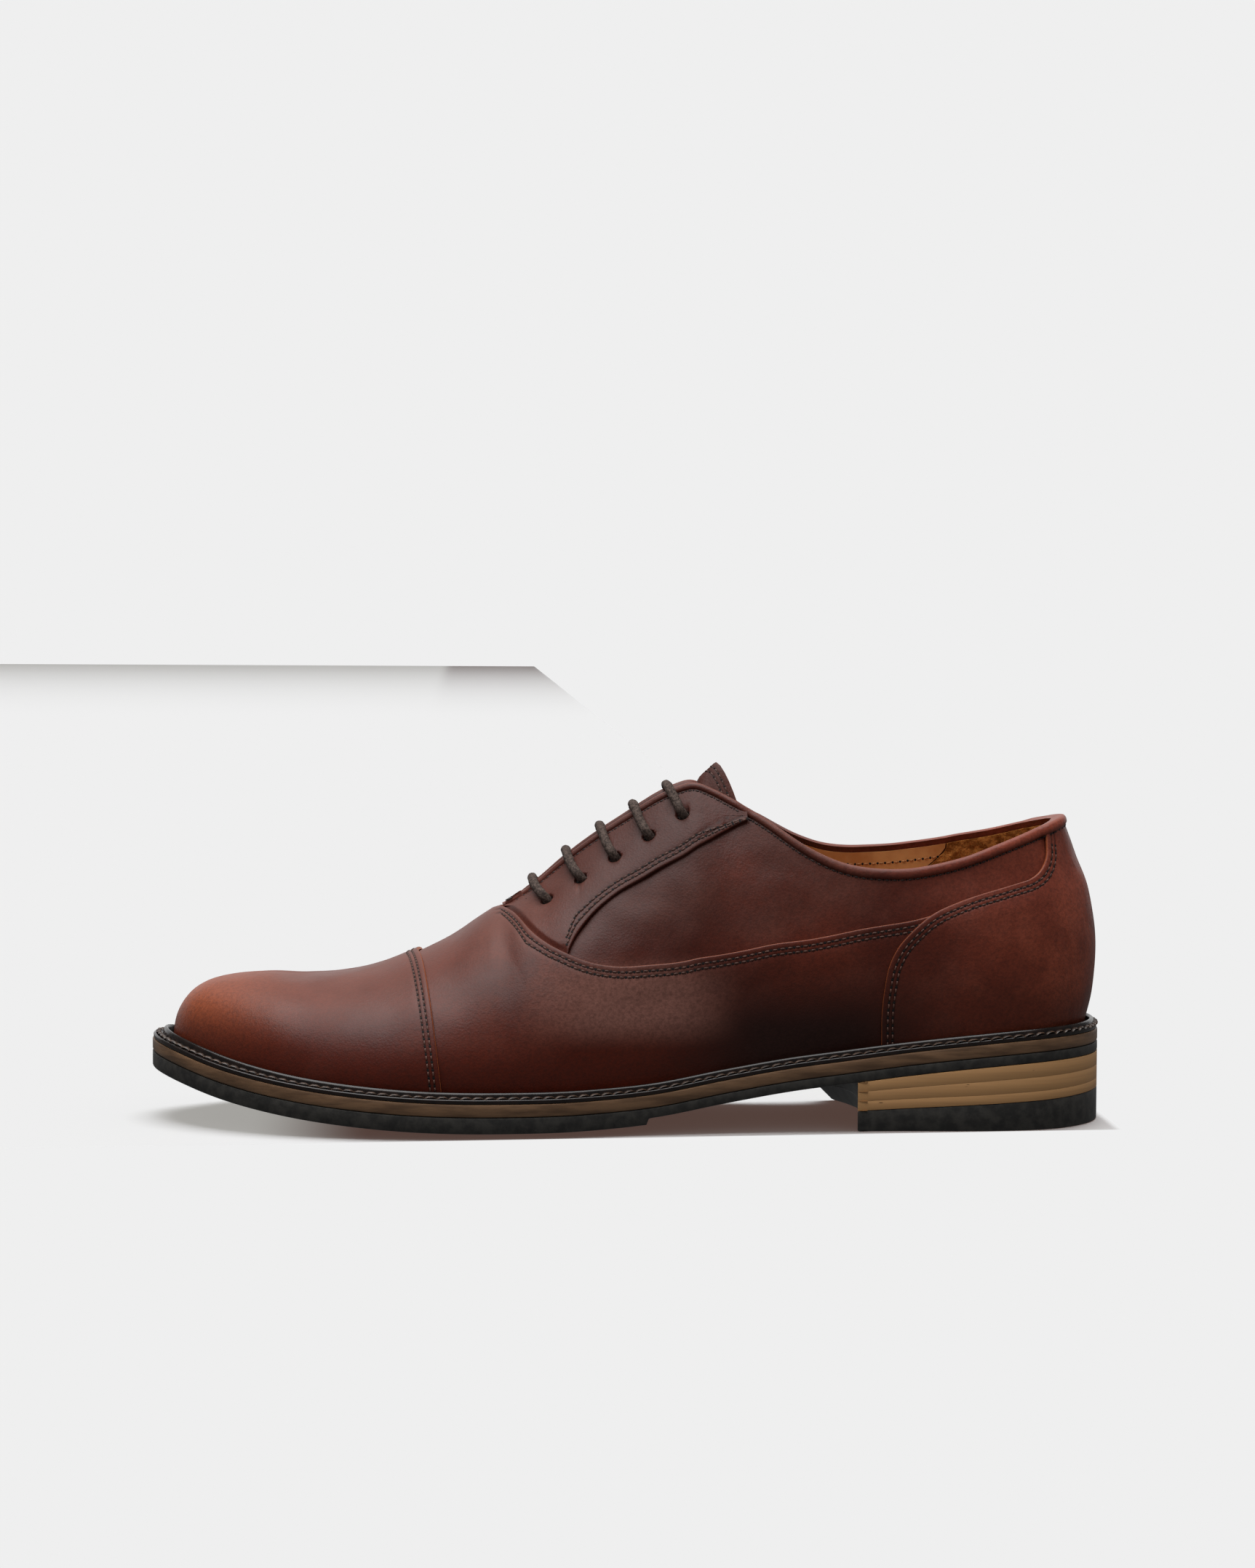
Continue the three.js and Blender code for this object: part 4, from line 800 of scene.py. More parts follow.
def make_vamp():
    nets, lines = [], []
    for side in SIDES:
        fore = np.linspace(0, 1, 18)[:-1]
        line = vamp_seam[side]
        length = run_of(surface(side, line[:, 0], line[:, 1]))
        at = np.linspace(0, 1, 110) ** 1.25 * length[-1]
        s = np.interp(at, length, line[:, 0])
        top = np.interp(at, length, line[:, 1])
        edge = surface(side, s, top)
        v, distance = rows_between(np.zeros_like(s), top, None, per_mm(side, s, top, edge), 22)
        distance = distance * np.ones_like(v)
        nets.append(net(side, s[:, None], v, VAMP[0], VAMP[1], distance, lap=0.3))
        rows = v[0]
        front = cap_end(rows) - UNDERLAP
        fore_s = mix(front[None, :], THROAT_S, fore[:, None])
        fore_s = np.vstack([fore_s, np.full((1, len(rows)), THROAT_S)])
        nets.append(net(side, fore_s, rows[None, :], VAMP[0], VAMP[1], FAR))
        lines += [seam_line(side, s[4:], v[4:, -1 - entry], VAMP[1] + 0.3) for entry in ROW_ENTRY]
    add_shell("vamp_leather", nets, LEATHER, "upper_leather", stands_for=["vamp"])
    add_stitches("stitching_vamp", lines)


FACING_FRONT, FACING_BACK = -38.9, 36.8
FACING_ROOM = 22
TUCK_DEPTH, TUCK_REACH = 0.9, 2.2
HOLE_RADIUS, HOLE_SOFTNESS, DIMPLE_REACH = 1.75, 0.4, 3.2


def make_facing(side):
    """A facing: tucked under the vamp ahead of the corner, free behind it, and dented by the lace holes."""
    front = np.linspace(FACING_FRONT, CORNER_X, 46)
    x = np.concatenate([front[:-1], np.linspace(CORNER_X, FACING_BACK, 130)])
    s = station_of(x)
    low = np.where(s < CORNER_S, vamp_top(side, s), np.maximum(vamp_top(side, s), facing_low(side, s)))
    top = np.ones_like(s)
    room = np.linalg.norm(surface(side, s, top) - surface(side, s, np.minimum(low, 0.99)), axis=-1)
    squeeze = np.clip(room / FACING_ROOM, 0.05, 1.0)
    even = np.ones(13) / 13
    near_low = np.pad(per_mm(side, s, low, surface(side, s, low)), len(even) // 2, "edge")
    near_low = np.convolve(near_low, even, "valid") * squeeze
    near_top = per_mm(side, s, top, surface(side, s, top)) * squeeze
    v, distance = rows_between(low, top, near_low, near_top, 26)
    distance = distance * squeeze[:, None]
    lower = (np.arange(v.shape[1]) < v.shape[1] // 2)[None, :]
    free = smooth_step(s, CORNER_S - 1.0, CORNER_S + 0.5)[:, None]
    tuck = TUCK_DEPTH * (1 - smooth_step(distance, 0.0, TUCK_REACH)) * lower * (1 - free)
    distance = np.where(lower, distance + (1 - free) * 12, distance)
    v = np.where(lower, v - (1 - free) * 0.012 * (v < low[:, None] + 1e-6), v)
    base = surface(side, s[:, None], v)
    hole, dimple = np.zeros_like(v), np.zeros_like(v)
    for i in range(EYELET_COUNT):
        away = np.linalg.norm(base - surface(side, *eyelet_place(i)), axis=-1)
        hole = np.maximum(hole, 1 - smooth_step(away, HOLE_RADIUS, HOLE_RADIUS + HOLE_SOFTNESS))
        dimple = np.maximum(dimple, np.exp(-(away / DIMPLE_REACH) ** 2))
    rows = (distance < 5) & lower
    shape = net(side, s[:, None], v, FACING[0] - 1.2 * hole, FACING[1] - tuck - 1.1 * hole - 0.25 * dimple,
                np.where(lower | (distance > 5), distance, 5.0), rough=0.02)
    # 3 * hole paints the lace holes near black: painted shadow in holes that the leather only dips into.
    shape["groove"] = shape["groove"] * np.where(rows, free, 0) + 3 * hole
    name = SIDE_NAME[side]
    add_shell(f"facing_leather_{name}", [shape], FACING_LEATHER, "upper_leather",
              stands_for=[f"facing_{name}"])
    back = s >= CORNER_S
    lines = [seam_line(side, s[back], v[back, entry], FACING[1] + STITCH_RISE) for entry in ROW_ENTRY]
    add_stitches(f"stitching_facing_{name}", lines)


def make_quarter(side):
    s = np.linspace(float(station_of(-24)), END - 1.6, 170)
    low = vamp_top(side, s) - 0.07
    top = np.where(s < station_of(38), np.minimum(facing_low(side, s) + 0.07, 1), 1.0)
    v = mix(low[:, None], top[:, None], np.linspace(0, 1, 44)[None, :])
    top_line = surface(side, s, np.ones_like(s))[:, None]
    distance = np.linalg.norm(surface(side, s[:, None], v) - top_line, axis=-1)
    shape = net(side, s[:, None], v, QUARTER[0], QUARTER[1], np.maximum(distance, 0.5), rows=(), rough=0.3)
    name = SIDE_NAME[side]
    add_shell(f"quarter_leather_{name}", [shape], LEATHER, "upper_leather", stands_for=[f"quarter_{name}"])


def counter_line(side, count=150):
    """Front and top edge of the counter, as s and v with v rising from 0 to 1."""
    line = counter_seam[side]
    line = np.vstack([[line[0, 0], 0.0], line[2:], [line[-1, 0] + 0.3, 1.0]])
    length = run_of(surface(side, line[:, 0], line[:, 1]))
    at = np.linspace(0, length[-1], count)
    v = np.maximum.accumulate(np.interp(at, length, line[:, 1]) + np.arange(count) * 1e-5)
    return np.interp(at, length, line[:, 0]), np.clip(v, 0, 1)


def counter_top(side, s, v):
    """Outer face of the counter: it sinks a little where it lies on the quarter."""
    seat = vamp_top(side, np.minimum(s, vamp_seam[side][-1, 0]))
    return mix(CAP[1], COUNTER_ON_QUARTER, smooth_step(v, seat - 0.08, seat + 0.12))


def distance_to(points, curve):
    """Distance of each point of a grid from a curve."""
    t = np.linspace(0, len(curve) - 1, 6 * len(curve))
    dense = resampled(curve, np.arange(len(curve)), t)
    return np.stack([np.linalg.norm(row[:, None] - dense[None], axis=2).min(axis=1) for row in points])


def make_counter():
    nets, lines = [], []
    close = NEAR[NEAR < COUNTER_ROWS_REACH]
    for side in SIDES:
        front, v = counter_line(side)
        edge = surface(side, front, v)
        along_edge = unit(np.gradient(edge, axis=0))
        along_s = surface(side, front + 0.5, v) - surface(side, front - 0.5, v)
        sine = np.linalg.norm(np.cross(along_edge, unit(along_s)), axis=-1)
        stretch = 1 / (np.linalg.norm(along_s, axis=-1) * np.maximum(sine, 0.3))
        room = END - front
        squeeze = np.minimum(1.0, room / (close[-1] * stretch * 1.4))
        near = front[:, None] + close[None, :] * (stretch * squeeze)[:, None]
        rest = mix(near[:, -1:], END, np.linspace(0, 1, 40)[None, 1:])
        s = np.hstack([near, rest])
        distance = distance_to(surface(side, s, v[:, None]), edge)
        high = counter_top(side, s, v[:, None])
        nets.append(net(side, s, v[:, None], high - COUNTER_THICKNESS, high, distance, rough=0.2, seed=11.0))
        inner = unit(np.cross(along_edge, normal(side, front, v)))
        inner *= np.sign(np.sum(inner * along_s))
        for row in STITCH_ROWS:
            place = (edge + inner * row)[2:-6]
            at = locate(side, place[:, 0], place[:, 2])
            lines.append((on_surface(side, *at, counter_top(side, *at) + STITCH_RISE), normal(side, *at)))
    add_shell("heel_counter_leather", nets, LEATHER, "upper_leather", stands_for=["heel_counter_cover"])
    add_stitches("stitching_counter", lines)


def topline_outer(side, s):
    """Outer face of what lies under the binding at s."""
    front, _ = counter_line(side)
    return mix(QUARTER[1], COUNTER_ON_QUARTER, smooth_step(s, front[-1] - 3, front[-1] + 2))


ROLL_FRONT, ROLL_STITCH_DROP = -39.2, 1.35
TACK_FRONT, TACK_BACK, TACK_PITCH, TACK_WIDTH = -37.6, -35.6, 0.42, 3.2


def make_binding():
    """The rolled edge round the lacing and the opening, its stitch line, and the throat's bar tack."""
    section = np.array([
        [-0.15, -0.85], [0.4, -0.75], [0.85, -0.3], [1.0, 0.35], [0.85, 1.0], [0.45, 1.5], [-0.2, 1.75],
        [-0.95, 1.75],
    ])
    inside = np.array([[-0.3, 1.6], [0.0, 1.1], [0.0, 0.3], [0.35, -0.4]])
    rings, lines, tack = [], [], []
    for side in SIDES:
        s = np.linspace(float(station_of(ROLL_FRONT)), END, 230)
        ones = np.ones_like(s)
        up = up_ribs(side, s)
        outer = mix(FACING[1], topline_outer(side, s), smooth_step(s, station_of(33), station_of(39)))
        wave = 0.07 * waviness(surface(side, s, ones), 12.0, 7.7)
        thick = mix(1.0, 1.25, smooth_step(s, station_of(20), station_of(50)))
        parts = [on_surface(side, s, ones, outer + a * 0.8 * thick + wave) + up * (b * thick)[:, None]
                 for a, b in section]
        parts += [on_surface(side, s, ones, -3.3 + a) + up * (b * thick)[:, None] for a, b in inside]
        rings.append(np.stack(parts, axis=1))
        drop = below_top(side, s, ROLL_STITCH_DROP)
        keep = s > station_of(-36)
        lines.append((on_surface(side, s, drop, outer - 0.02)[keep], normal(side, s, drop)[keep]))
    loop = np.concatenate([rings[0], rings[1][-2::-1]])
    points = loop.reshape(-1, 3)
    plain = {"edge": np.zeros(len(points)), "groove": np.zeros(len(points))}
    add_mesh("topline_binding_roll", points, tube_faces(*loop.shape[:2]), BINDING, "binding_leather",
             stands_for=["topline_binding"], values=plain, sharp=70)
    add_stitches("stitching_topline", lines, EDGE_THREAD)
    for side in SIDES:
        s = np.linspace(float(station_of(TACK_FRONT)), float(station_of(TACK_BACK)), 12)
        up = up_ribs(side, s)
        tack.append((on_surface(side, s, np.ones_like(s), 0.1) + up * 1.0, unit(normal(side, s, 1.0) + up)))
    points, faces = stitch_mesh(tack, TACK_PITCH, TACK_WIDTH, TACK_PITCH, 0.35, math.pi / 2)
    add_mesh("throat_bar_tack", points, faces, EDGE_THREAD, "sole_thread", sharp=80)


# ---------------------------------------------------------------- linings
LINING_BREAK_X = -40.8
GRIP_X = 94.0
GRIP_SLANT = 11.0
LINING_STITCH_DROP = 4.0


def make_linings():
    v = np.linspace(0, 1, 30)
    toe = [net(side, np.linspace(0, 1, 40)[:, None] * station_of(LINING_BREAK_X), v[None, :], LINING_LAYER[0],
               LINING_LAYER[1], FAR, rows=(), rough=0.05) for side in SIDES]
    add_shell("vamp_lining_sheet", toe, LINING, "lining_leather", stands_for=["vamp_lining"])
    lines = []
    for side in SIDES:
        across = np.linspace(0, 1, 48)
        back = station_of(GRIP_X) + GRIP_SLANT * smooth_step(across, 0.8, 1.0)
        grid = mix(float(station_of(LINING_BREAK_X + 2.3)), back[None, :], np.linspace(0, 1, 90)[:, None])
        s = grid[:, -1]
        shape = net(side, grid, across[None, :], LINING_LAYER[0], LINING_LAYER[1], FAR, rows=(), rough=0.08)
        name = SIDE_NAME[side]
        add_shell(f"quarter_lining_sheet_{name}", [shape], LINING, "lining_leather",
                  stands_for=[f"quarter_lining_{name}"])
        keep = s > station_of(44)
        low = below_top(side, s, LINING_STITCH_DROP)
        lines.append((on_surface(side, s, low, LINING_LAYER[0] - 0.02)[keep], -normal(side, s, low)[keep]))
    add_stitches("stitching_lining", lines, LINING_THREAD)


def make_heel_grip():
    """Suede heel grip, flesh side out: its face is rough and stands a little proud of the lining."""
    nets = []
    for side in SIDES:
        v = np.linspace(0, 1, 90)[None, :]
        front = station_of(GRIP_X) + 0.6 + GRIP_SLANT * smooth_step(v, 0.8, 1.0)
        s = mix(front, END, np.linspace(0, 1, 90)[:, None])
        shape = net(side, s, v, LINING_LAYER[0], LINING_LAYER[1], FAR, rows=(), rough=0.0)
        nap = 0.16 * waviness(shape["key"], 1.1, 2.0) + 0.14 * waviness(shape["key"], 2.6, 9.0)
        grid = np.broadcast_arrays(s, v)
        shape["low"] = on_surface(side, grid[0], grid[1], LINING_LAYER[0] - 0.3 + nap)
        nets.append(shape)
    add_shell("heel_grip_suede", nets, SUEDE, "lining_suede", stands_for=["heel_grip"])


# ---------------------------------------------------------------- tongue
TONGUE_BASE, TONGUE_TIP, TONGUE_CORNER = -46.0, 28.6, 36.5
TONGUE_SIDE_END = 31
TONGUE_MIDDLE, TONGUE_UNDER, TONGUE_SIDE = 0.25, 0.93, 0.66
tongue_hump = Spline([
    [TONGUE_BASE, 0.5], [-20, 2], [0, 4], [10, 6], [19, 8], [23.5, 13.5], [TONGUE_TIP, 20], [38, 24],
])


def tongue_points(x, w, offset):
    """Points of the tongue at x and at w, from -1 on the lateral side to 1 on the medial side."""
    s = station_of(x)
    reach = np.abs(w)
    v = mix(TONGUE_UNDER, TONGUE_SIDE, np.clip((reach - TONGUE_MIDDLE) / (1 - TONGUE_MIDDLE), 0, 1))
    a = on_surface(LATERAL, s, np.where(w < 0, v, TONGUE_UNDER), offset)
    b = on_surface(MEDIAL, s, np.where(w > 0, v, TONGUE_UNDER), offset)
    t = np.clip(w / TONGUE_MIDDLE, -1, 1)
    share = np.where(reach >= TONGUE_MIDDLE, np.where(w < 0, 0.0, 1.0), (t + 1) / 2)
    point = mix(a, b, share[..., None])
    point[..., 2] += tongue_hump(x) * (1 - np.abs(t) ** 1.35)
    return point


def make_tongue(name, layer, look, slot, node, stitched):
    w = np.linspace(-1, 1, 61)
    reach = np.abs(w)
    end = mix(TONGUE_TIP, TONGUE_CORNER, np.clip(reach / TONGUE_MIDDLE, 0, 1))
    end = np.where(reach > TONGUE_MIDDLE,
                   mix(TONGUE_CORNER, TONGUE_SIDE_END, (reach - TONGUE_MIDDLE) / (1 - TONGUE_MIDDLE)), end)
    inner = mix(TONGUE_BASE, end - NEAR[-1], np.linspace(0, 1, 46)[:, None])
    x = np.vstack([inner, end[None, :] - NEAR[-2::-1, None]])
    distance = np.concatenate([np.full(len(inner) - 1, FAR), NEAR[::-1]])[:, None] * np.ones((1, len(w)))
    grid_w = np.broadcast_to(w, x.shape)
    base = tongue_points(x, grid_w, np.zeros_like(x))
    wave = 0.15 * waviness(base, 20.0, 4.0) * smooth_step(distance, 1, 10)
    groove = groove_at(distance, STITCH_ROWS if stitched else ())
    high = tongue_points(x, grid_w, layer[1] - edge_drop(distance) - 0.15 * groove + wave)
    shape = {
        "key": base, "low": tongue_points(x, grid_w, np.full_like(x, layer[0])), "high": high,
        "edge": 1 - smooth_step(distance, 0.0, 0.3), "groove": groove,
    }
    add_shell(name, [shape], look, slot, stands_for=[node], body="tongue")
    if stitched:
        thick = high - shape["low"]
        lines = [(high[-1 - entry], unit(thick[-1 - entry])) for entry in ROW_ENTRY]
        add_stitches("stitching_tongue", lines, body="tongue")


# ---------------------------------------------------------------- bottom of the shoe
RIM = 3.0


def edge_at(half, x):
    return np.interp(x, half[:, 0], half[:, 1])


def cross_rows(start, end, count, round_start=True):
    """x of cross rows, close together at the rounded ends."""
    first = 0 if round_start else math.pi / 2
    a = np.cos(np.linspace(first, math.pi, count + 1))
    return start + (end - start) * (a[0] - a) / (a[0] - a[-1])


def sole_layer(name, x, top, low, bevel, look, slot, node, hollow=0.0, paint_front=None):
    """A layer of the bottom with rounded edges: its plan is the sole's outline between two x."""
    half = halves(sole_edge)
    lateral, medial = edge_at(half[LATERAL], x), edge_at(half[MEDIAL], x)
    across = np.linspace(0, 1, 9)
    front_open = abs(lateral[0] - medial[0]) > 1
    w = 2 * across - 1
    plan = [*zip(x, lateral), *zip(x[-2:0:-1], medial[-2:0:-1])]
    lateral_at = list(range(len(x)))
    medial_at = [0] + [2 * len(x) - 2 - i for i in range(1, len(x) - 1)] + [len(x) - 1]
    front = [0] * len(across)
    if front_open:
        start = len(plan)
        ys = mix(medial[0], lateral[0], across)
        curve = hollow * (1 - w * w)
        plan += [(x[0] + curve[k], ys[k]) for k in range(len(across) - 1)]
        medial_at[0] = start
        front = [0] + list(range(start + len(across) - 2, start - 1, -1))
    plan = np.array(plan)
    into = inward(plan)
    levels = [(RIM, 0.0, 0), (bevel, 0.0, 0), (0.3 * bevel, 0.3, 0), (0.0, 1.0, 0),
              (0.0, 1.0, 1), (0.3 * bevel, 0.3, 1), (bevel, 0.0, 1), (RIM, 0.0, 1)]
    loops = []
    for inset_by, drop, is_low in levels:
        flat = plan + into * inset_by
        flat[:, 0] = np.clip(flat[:, 0], x[0], x[-1]) if front_open else flat[:, 0]
        z = low(flat[:, 0], np.ones(len(flat))) + drop * bevel if is_low else top(flat[:, 0]) - drop * bevel
        loops.append(np.column_stack([flat, z]))
    count = len(plan)
    points = list(np.vstack(loops))
    ids = np.arange(len(loops) * count).reshape(len(loops), count)
    faces = grid_faces(np.column_stack([ids, ids[:, 0]]))
    for level, is_low in ((0, 0), (len(loops) - 1, 1)):
        rows = []
        for i in range(len(x)):
            a, b = ids[level][lateral_at[i]], ids[level][medial_at[i]]
            if i == 0:
                rows.append([int(ids[level][k]) for k in front])
                continue
            if a == b:
                rows.append([int(a)] * len(across))
                continue
            row = [int(a)]
            pa, pb = loops[level][lateral_at[i]], loops[level][medial_at[i]]
            bent = hollow * (1 - i / (len(x) - 1)) ** 3
            for k in range(1, len(across) - 1):
                px, py = mix(pa[0], pb[0], across[k]) + bent * (1 - w[k] ** 2), mix(pa[1], pb[1], across[k])
                height = low(np.array([px]), np.array([w[k]])) if is_low else top(np.array([px]))
                row.append(len(points))
                points.append(np.array([px, py, float(height[0])]))
            rows.append(row + [int(b)])
        faces += grid_faces(np.array(rows))
    points = np.array(points)
    if front_open and hollow:
        back = np.clip(1 - (points[:, 0] - x[0]) / BREAST_FLARE_REACH, 0, 1) ** 2
        flare = BREAST_FLARE * (1 - np.exp(-points[:, 2] / BREAST_FLARE_RISE))
        points[:, 0] -= flare * back * smooth_step(points[:, 1], lateral[0] + 1.0, lateral[0] + 30)
    made = add_mesh(name, points, faces, look, slot, stands_for=[node], sharp=40)
    if paint_front is not None:
        made.data.materials.append(paint_front)
        for face in made.data.polygons:
            if face.normal.x < -0.5 and face.center.x / MM < x[0] + PAINTED_REACH:
                face.material_index = 1
    return made


MIDSOLE_THICKNESS, OUTSOLE_THICKNESS, WAIST_THICKNESS = 4.0, 5.0, 3.1
TREAD_END, CROWN = 5.0, 1.9
BREAST, BREAST_HOLLOW = 70.0, 7.0
BREAST_FLARE, BREAST_FLARE_REACH, BREAST_FLARE_RISE = 10.0, 30.0, 6.0
PAINTED_REACH = 14
TOP_LIFT_FRONT, TOP_LIFT_BACK, LOW_LIFT = 6.4, 10.4, 2.9
LIFT_JOINT = 0.03


def make_sole():
    heel_x = sole_edge[HEEL_INDEX][0]
    full = cross_rows(sole_edge[0][0], heel_x, 110)
    sole_layer("midsole_edge", full, midsole_top, lambda x, w: midsole_top(x) - MIDSOLE_THICKNESS + 0.1,
               0.5, MIDSOLE, "midsole_leather", "midsole")
    near = np.array([TREAD_END - 0.9, TREAD_END - 0.6, TREAD_END + 0.1, TREAD_END + 0.4])
    stepped = np.sort(np.concatenate([full[(full < TREAD_END - 1.5) | (full > TREAD_END + 1)], near]))

    def outsole_low(x, w):
        tread = 1 - smooth_step(x, TREAD_END - 0.7, TREAD_END + 0.2)
        crown = CROWN * (1 - w * w) * tread
        thickness = mix(WAIST_THICKNESS, OUTSOLE_THICKNESS, tread)
        return np.maximum(midsole_top(x) - MIDSOLE_THICKNESS - thickness - crown, 0)

    sole_layer("outsole_rubber", stepped, lambda x: midsole_top(x) - MIDSOLE_THICKNESS, outsole_low,
               0.45, RUBBER, "sole_rubber", "outsole")

    def seat_low(x):
        return midsole_top(x) - MIDSOLE_THICKNESS - WAIST_THICKNESS - 0.1

    def lift_top(x):
        return mix(TOP_LIFT_FRONT, TOP_LIFT_BACK, (x - BREAST) / 80)

    def low_top(x):
        return lift_top(x) + LOW_LIFT

    def middle(x):
        return (low_top(x) + seat_low(x)) / 2

    rows = cross_rows(BREAST, heel_x, 60, round_start=False)
    lifts = [
        ("heel_stack_upper", seat_low, middle, "heel_lift_1"),
        ("heel_stack_middle", lambda x: middle(x) - LIFT_JOINT, low_top, "heel_lift_2"),
        ("heel_stack_lower", lambda x: low_top(x) - LIFT_JOINT, lift_top, "heel_lift_3"),
    ]
    for name, top, low, node in lifts:
        sole_layer(name, rows, top, lambda x, w, low=low: low(x), 0.06, STACK, "heel_stack", node,
                   BREAST_HOLLOW, RUBBER)
    sole_layer("heel_top_piece", rows, lambda x: lift_top(x) - LIFT_JOINT, lambda x, w: np.zeros_like(x),
               0.5, RUBBER, "heel_rubber", "top_lift", BREAST_HOLLOW)


SOCK_INSET, SOCK_TOP, SOCK_LOW = 4.4, 6.0, 5.3


def make_sock():
    half = halves(sole_edge + inward(sole_edge) * (feather_inset(sole_edge[:, 0]) + SOCK_INSET)[:, None])
    x = cross_rows(half[LATERAL][0][0], half[LATERAL][-1][0], 60)
    lateral, medial = edge_at(half[LATERAL], x), edge_at(half[MEDIAL], x)
    w = np.array([0, 0.01, 0.03, 0.1, 0.25, 0.4, 0.5, 0.6, 0.75, 0.9, 0.97, 0.99, 1.0])
    y = mix(lateral[:, None], medial[:, None], w[None, :])
    grid_x = np.broadcast_to(x[:, None], y.shape)
    dish = 0.8 * (np.abs(2 * w - 1) ** 4)[None, :]
    rolled = 0.35 * (np.abs(2 * w - 1) > 0.99)[None, :]
    top = midsole_top(grid_x) + SOCK_TOP + dish * 0.4 - rolled
    flat = np.stack([grid_x, y, np.zeros_like(y)], -1)
    shape = {
        "key": flat, "high": np.stack([grid_x, y, top], -1),
        "low": np.stack([grid_x, y, midsole_top(grid_x) + SOCK_LOW], -1),
        "edge": np.zeros_like(y), "groove": np.zeros_like(y),
    }
    add_shell("sock_liner_leather", [shape], SOCK, "sock_leather", stands_for=["sock_liner"])


# ---------------------------------------------------------------- welt
bead_stand = Spline([[-150, 2.6], [-48, 2.7], [60, 2.7], [152, 3]])
BEAD_WIDTH = 1.6
WELT_STITCH_PITCH, WELT_STITCH_LEVEL = 3.6, 1.62
WELT_STITCH = (1.35, 0.62, 0.22)  # width, height, skew


def welt_point(outline, into, inset_by, height):
    flat = outline + into * np.asarray(inset_by)[:, None]
    return np.column_stack([flat, midsole_top(outline[:, 0]) + height])


def make_welt():
    outline = sole_edge
    into = inward(outline)
    x = outline[:, 0]
    bead = feather_inset(x) - bead_stand(x)
    zero = np.zeros_like(x)
    section = [
        (bead, 0.15), (bead, 2.3), (bead - 0.1, 2.8), (bead - 0.4, 3.15), (bead - 0.8, 3.2),
        (bead - 1.25, 2.9), (bead - 1.5, 2.3), (bead - 1.65, 1.5), (bead - 1.85, 1.05),
        (bead * 0.5 + 0.2, 1.3), (zero + 0.75, 1.45), (zero + 0.4, 1.3), (zero + 0.28, 1.0),
        (zero + 0.35, 0.15),
    ]
    rings = np.stack([welt_point(outline, into, inset_by, height) for inset_by, height in section], axis=1)
    faces = tube_faces(*rings.shape[:2], close=True)
    add_mesh("welt_leather_strip", rings.reshape(-1, 3), faces, WELT, "welt_leather",
             stands_for=["welt"], sharp=60)
    line = welt_point(outline, into, (bead - BEAD_WIDTH + 0.35) / 2, WELT_STITCH_LEVEL)
    line = np.vstack([line, line[:1]])
    up = np.tile([0.0, 0.0, 1.0], (len(line), 1))
    points, faces = stitch_mesh([(line, up)], WELT_STITCH_PITCH, WELT_STITCH_PITCH * 1.12, *WELT_STITCH)
    add_mesh("welt_stitching", points, faces, WELT_THREAD, "sole_thread",
             stands_for=["welt_thread"], sharp=80)


# ---------------------------------------------------------------- lace
LACE_RADIUS = 1.35
NAP = 0.14
LACE_STEP, LACE_SIDES, BRAID_PITCH = 0.42, 20, 9.0
FLOOR_LATERAL = [(-30, -26), (-50, -26), (-70, -21), (-93, -8)]
FLOOR_MEDIAL = [(-14, 18), (-36, 24), (-62, 26), (-89, 19)]


def by_eyelet(side, i, offset, slide=0.0, shift=0.0):
    s, v = eyelet_place(i)
    return on_surface(side, s + shift, v + slide / 100, offset)


def lace_bar(i, start):
    """A straight bar outside the shoe, out at one eyelet and in at its partner."""
    def half(side):
        return [by_eyelet(side, i, -5), by_eyelet(side, i, 0.3), by_eyelet(side, i, 1.4, 0.7, -0.3),
                by_eyelet(side, i, 1.75, 3, -1)]

    s, _ = eyelet_place(i)
    edges = [on_surface(side, s - 3, 1.0, 1.7) for side in (start, -start)]
    middle = (edges[0] + edges[1]) / 2 + np.array([0, 0, 0.5])
    return half(start) + [edges[0], middle, edges[1]] + half(-start)[::-1]


def lace_run(side, start, stop, bow):
    """A run inside the shoe between two eyelets of one side, bowed clear of the one it passes."""
    (s0, v0), (s1, v1) = eyelet_place(start), eyelet_place(stop)
    return [on_surface(side, mix(s0, s1, t), mix(v0, v1, t) + bow / 100 * math.sin(math.pi * t), -5.65)
            for t in (0.15, 0.38, 0.62, 0.85)]


def lace_end(side, i, floor):
    """A free end, tucked down inside the wall and forward along the sock liner."""
    s, v = eyelet_place(i)
    down = [on_surface(side, s - 10 * t, v * (1 - t), -5.7 - 4 * max(t - 0.4, 0))
            for t in (0.1, 0.35, 0.6, 0.84)]
    return down + [np.array([x, y, float(midsole_top(x)) + 7.9]) for x, y in floor]


def lace_path():
    return np.array([
        *lace_end(LATERAL, 3, FLOOR_LATERAL)[::-1],
        *lace_bar(3, LATERAL), *lace_run(MEDIAL, 3, 1, -4.2),
        *lace_bar(1, MEDIAL), *lace_run(LATERAL, 1, 0, 0),
        *lace_bar(0, LATERAL), *lace_run(MEDIAL, 0, 2, 4.2),
        *lace_bar(2, MEDIAL), *lace_run(LATERAL, 2, 4, 4.2),
        *lace_bar(4, LATERAL),
        *lace_end(MEDIAL, 4, FLOOR_MEDIAL),
    ])


def frames_along(line):
    """Two unit vectors square to a line at each of its points, carried along without twist."""
    tangent = unit(np.gradient(line, axis=0))
    across = np.zeros_like(line)
    last = np.array([0.3, 0.4, 0.86])
    for i, t in enumerate(tangent):
        last = last - t * (last @ t)
        last = last / np.linalg.norm(last)
        across[i] = last
    return across, np.cross(tangent, across)


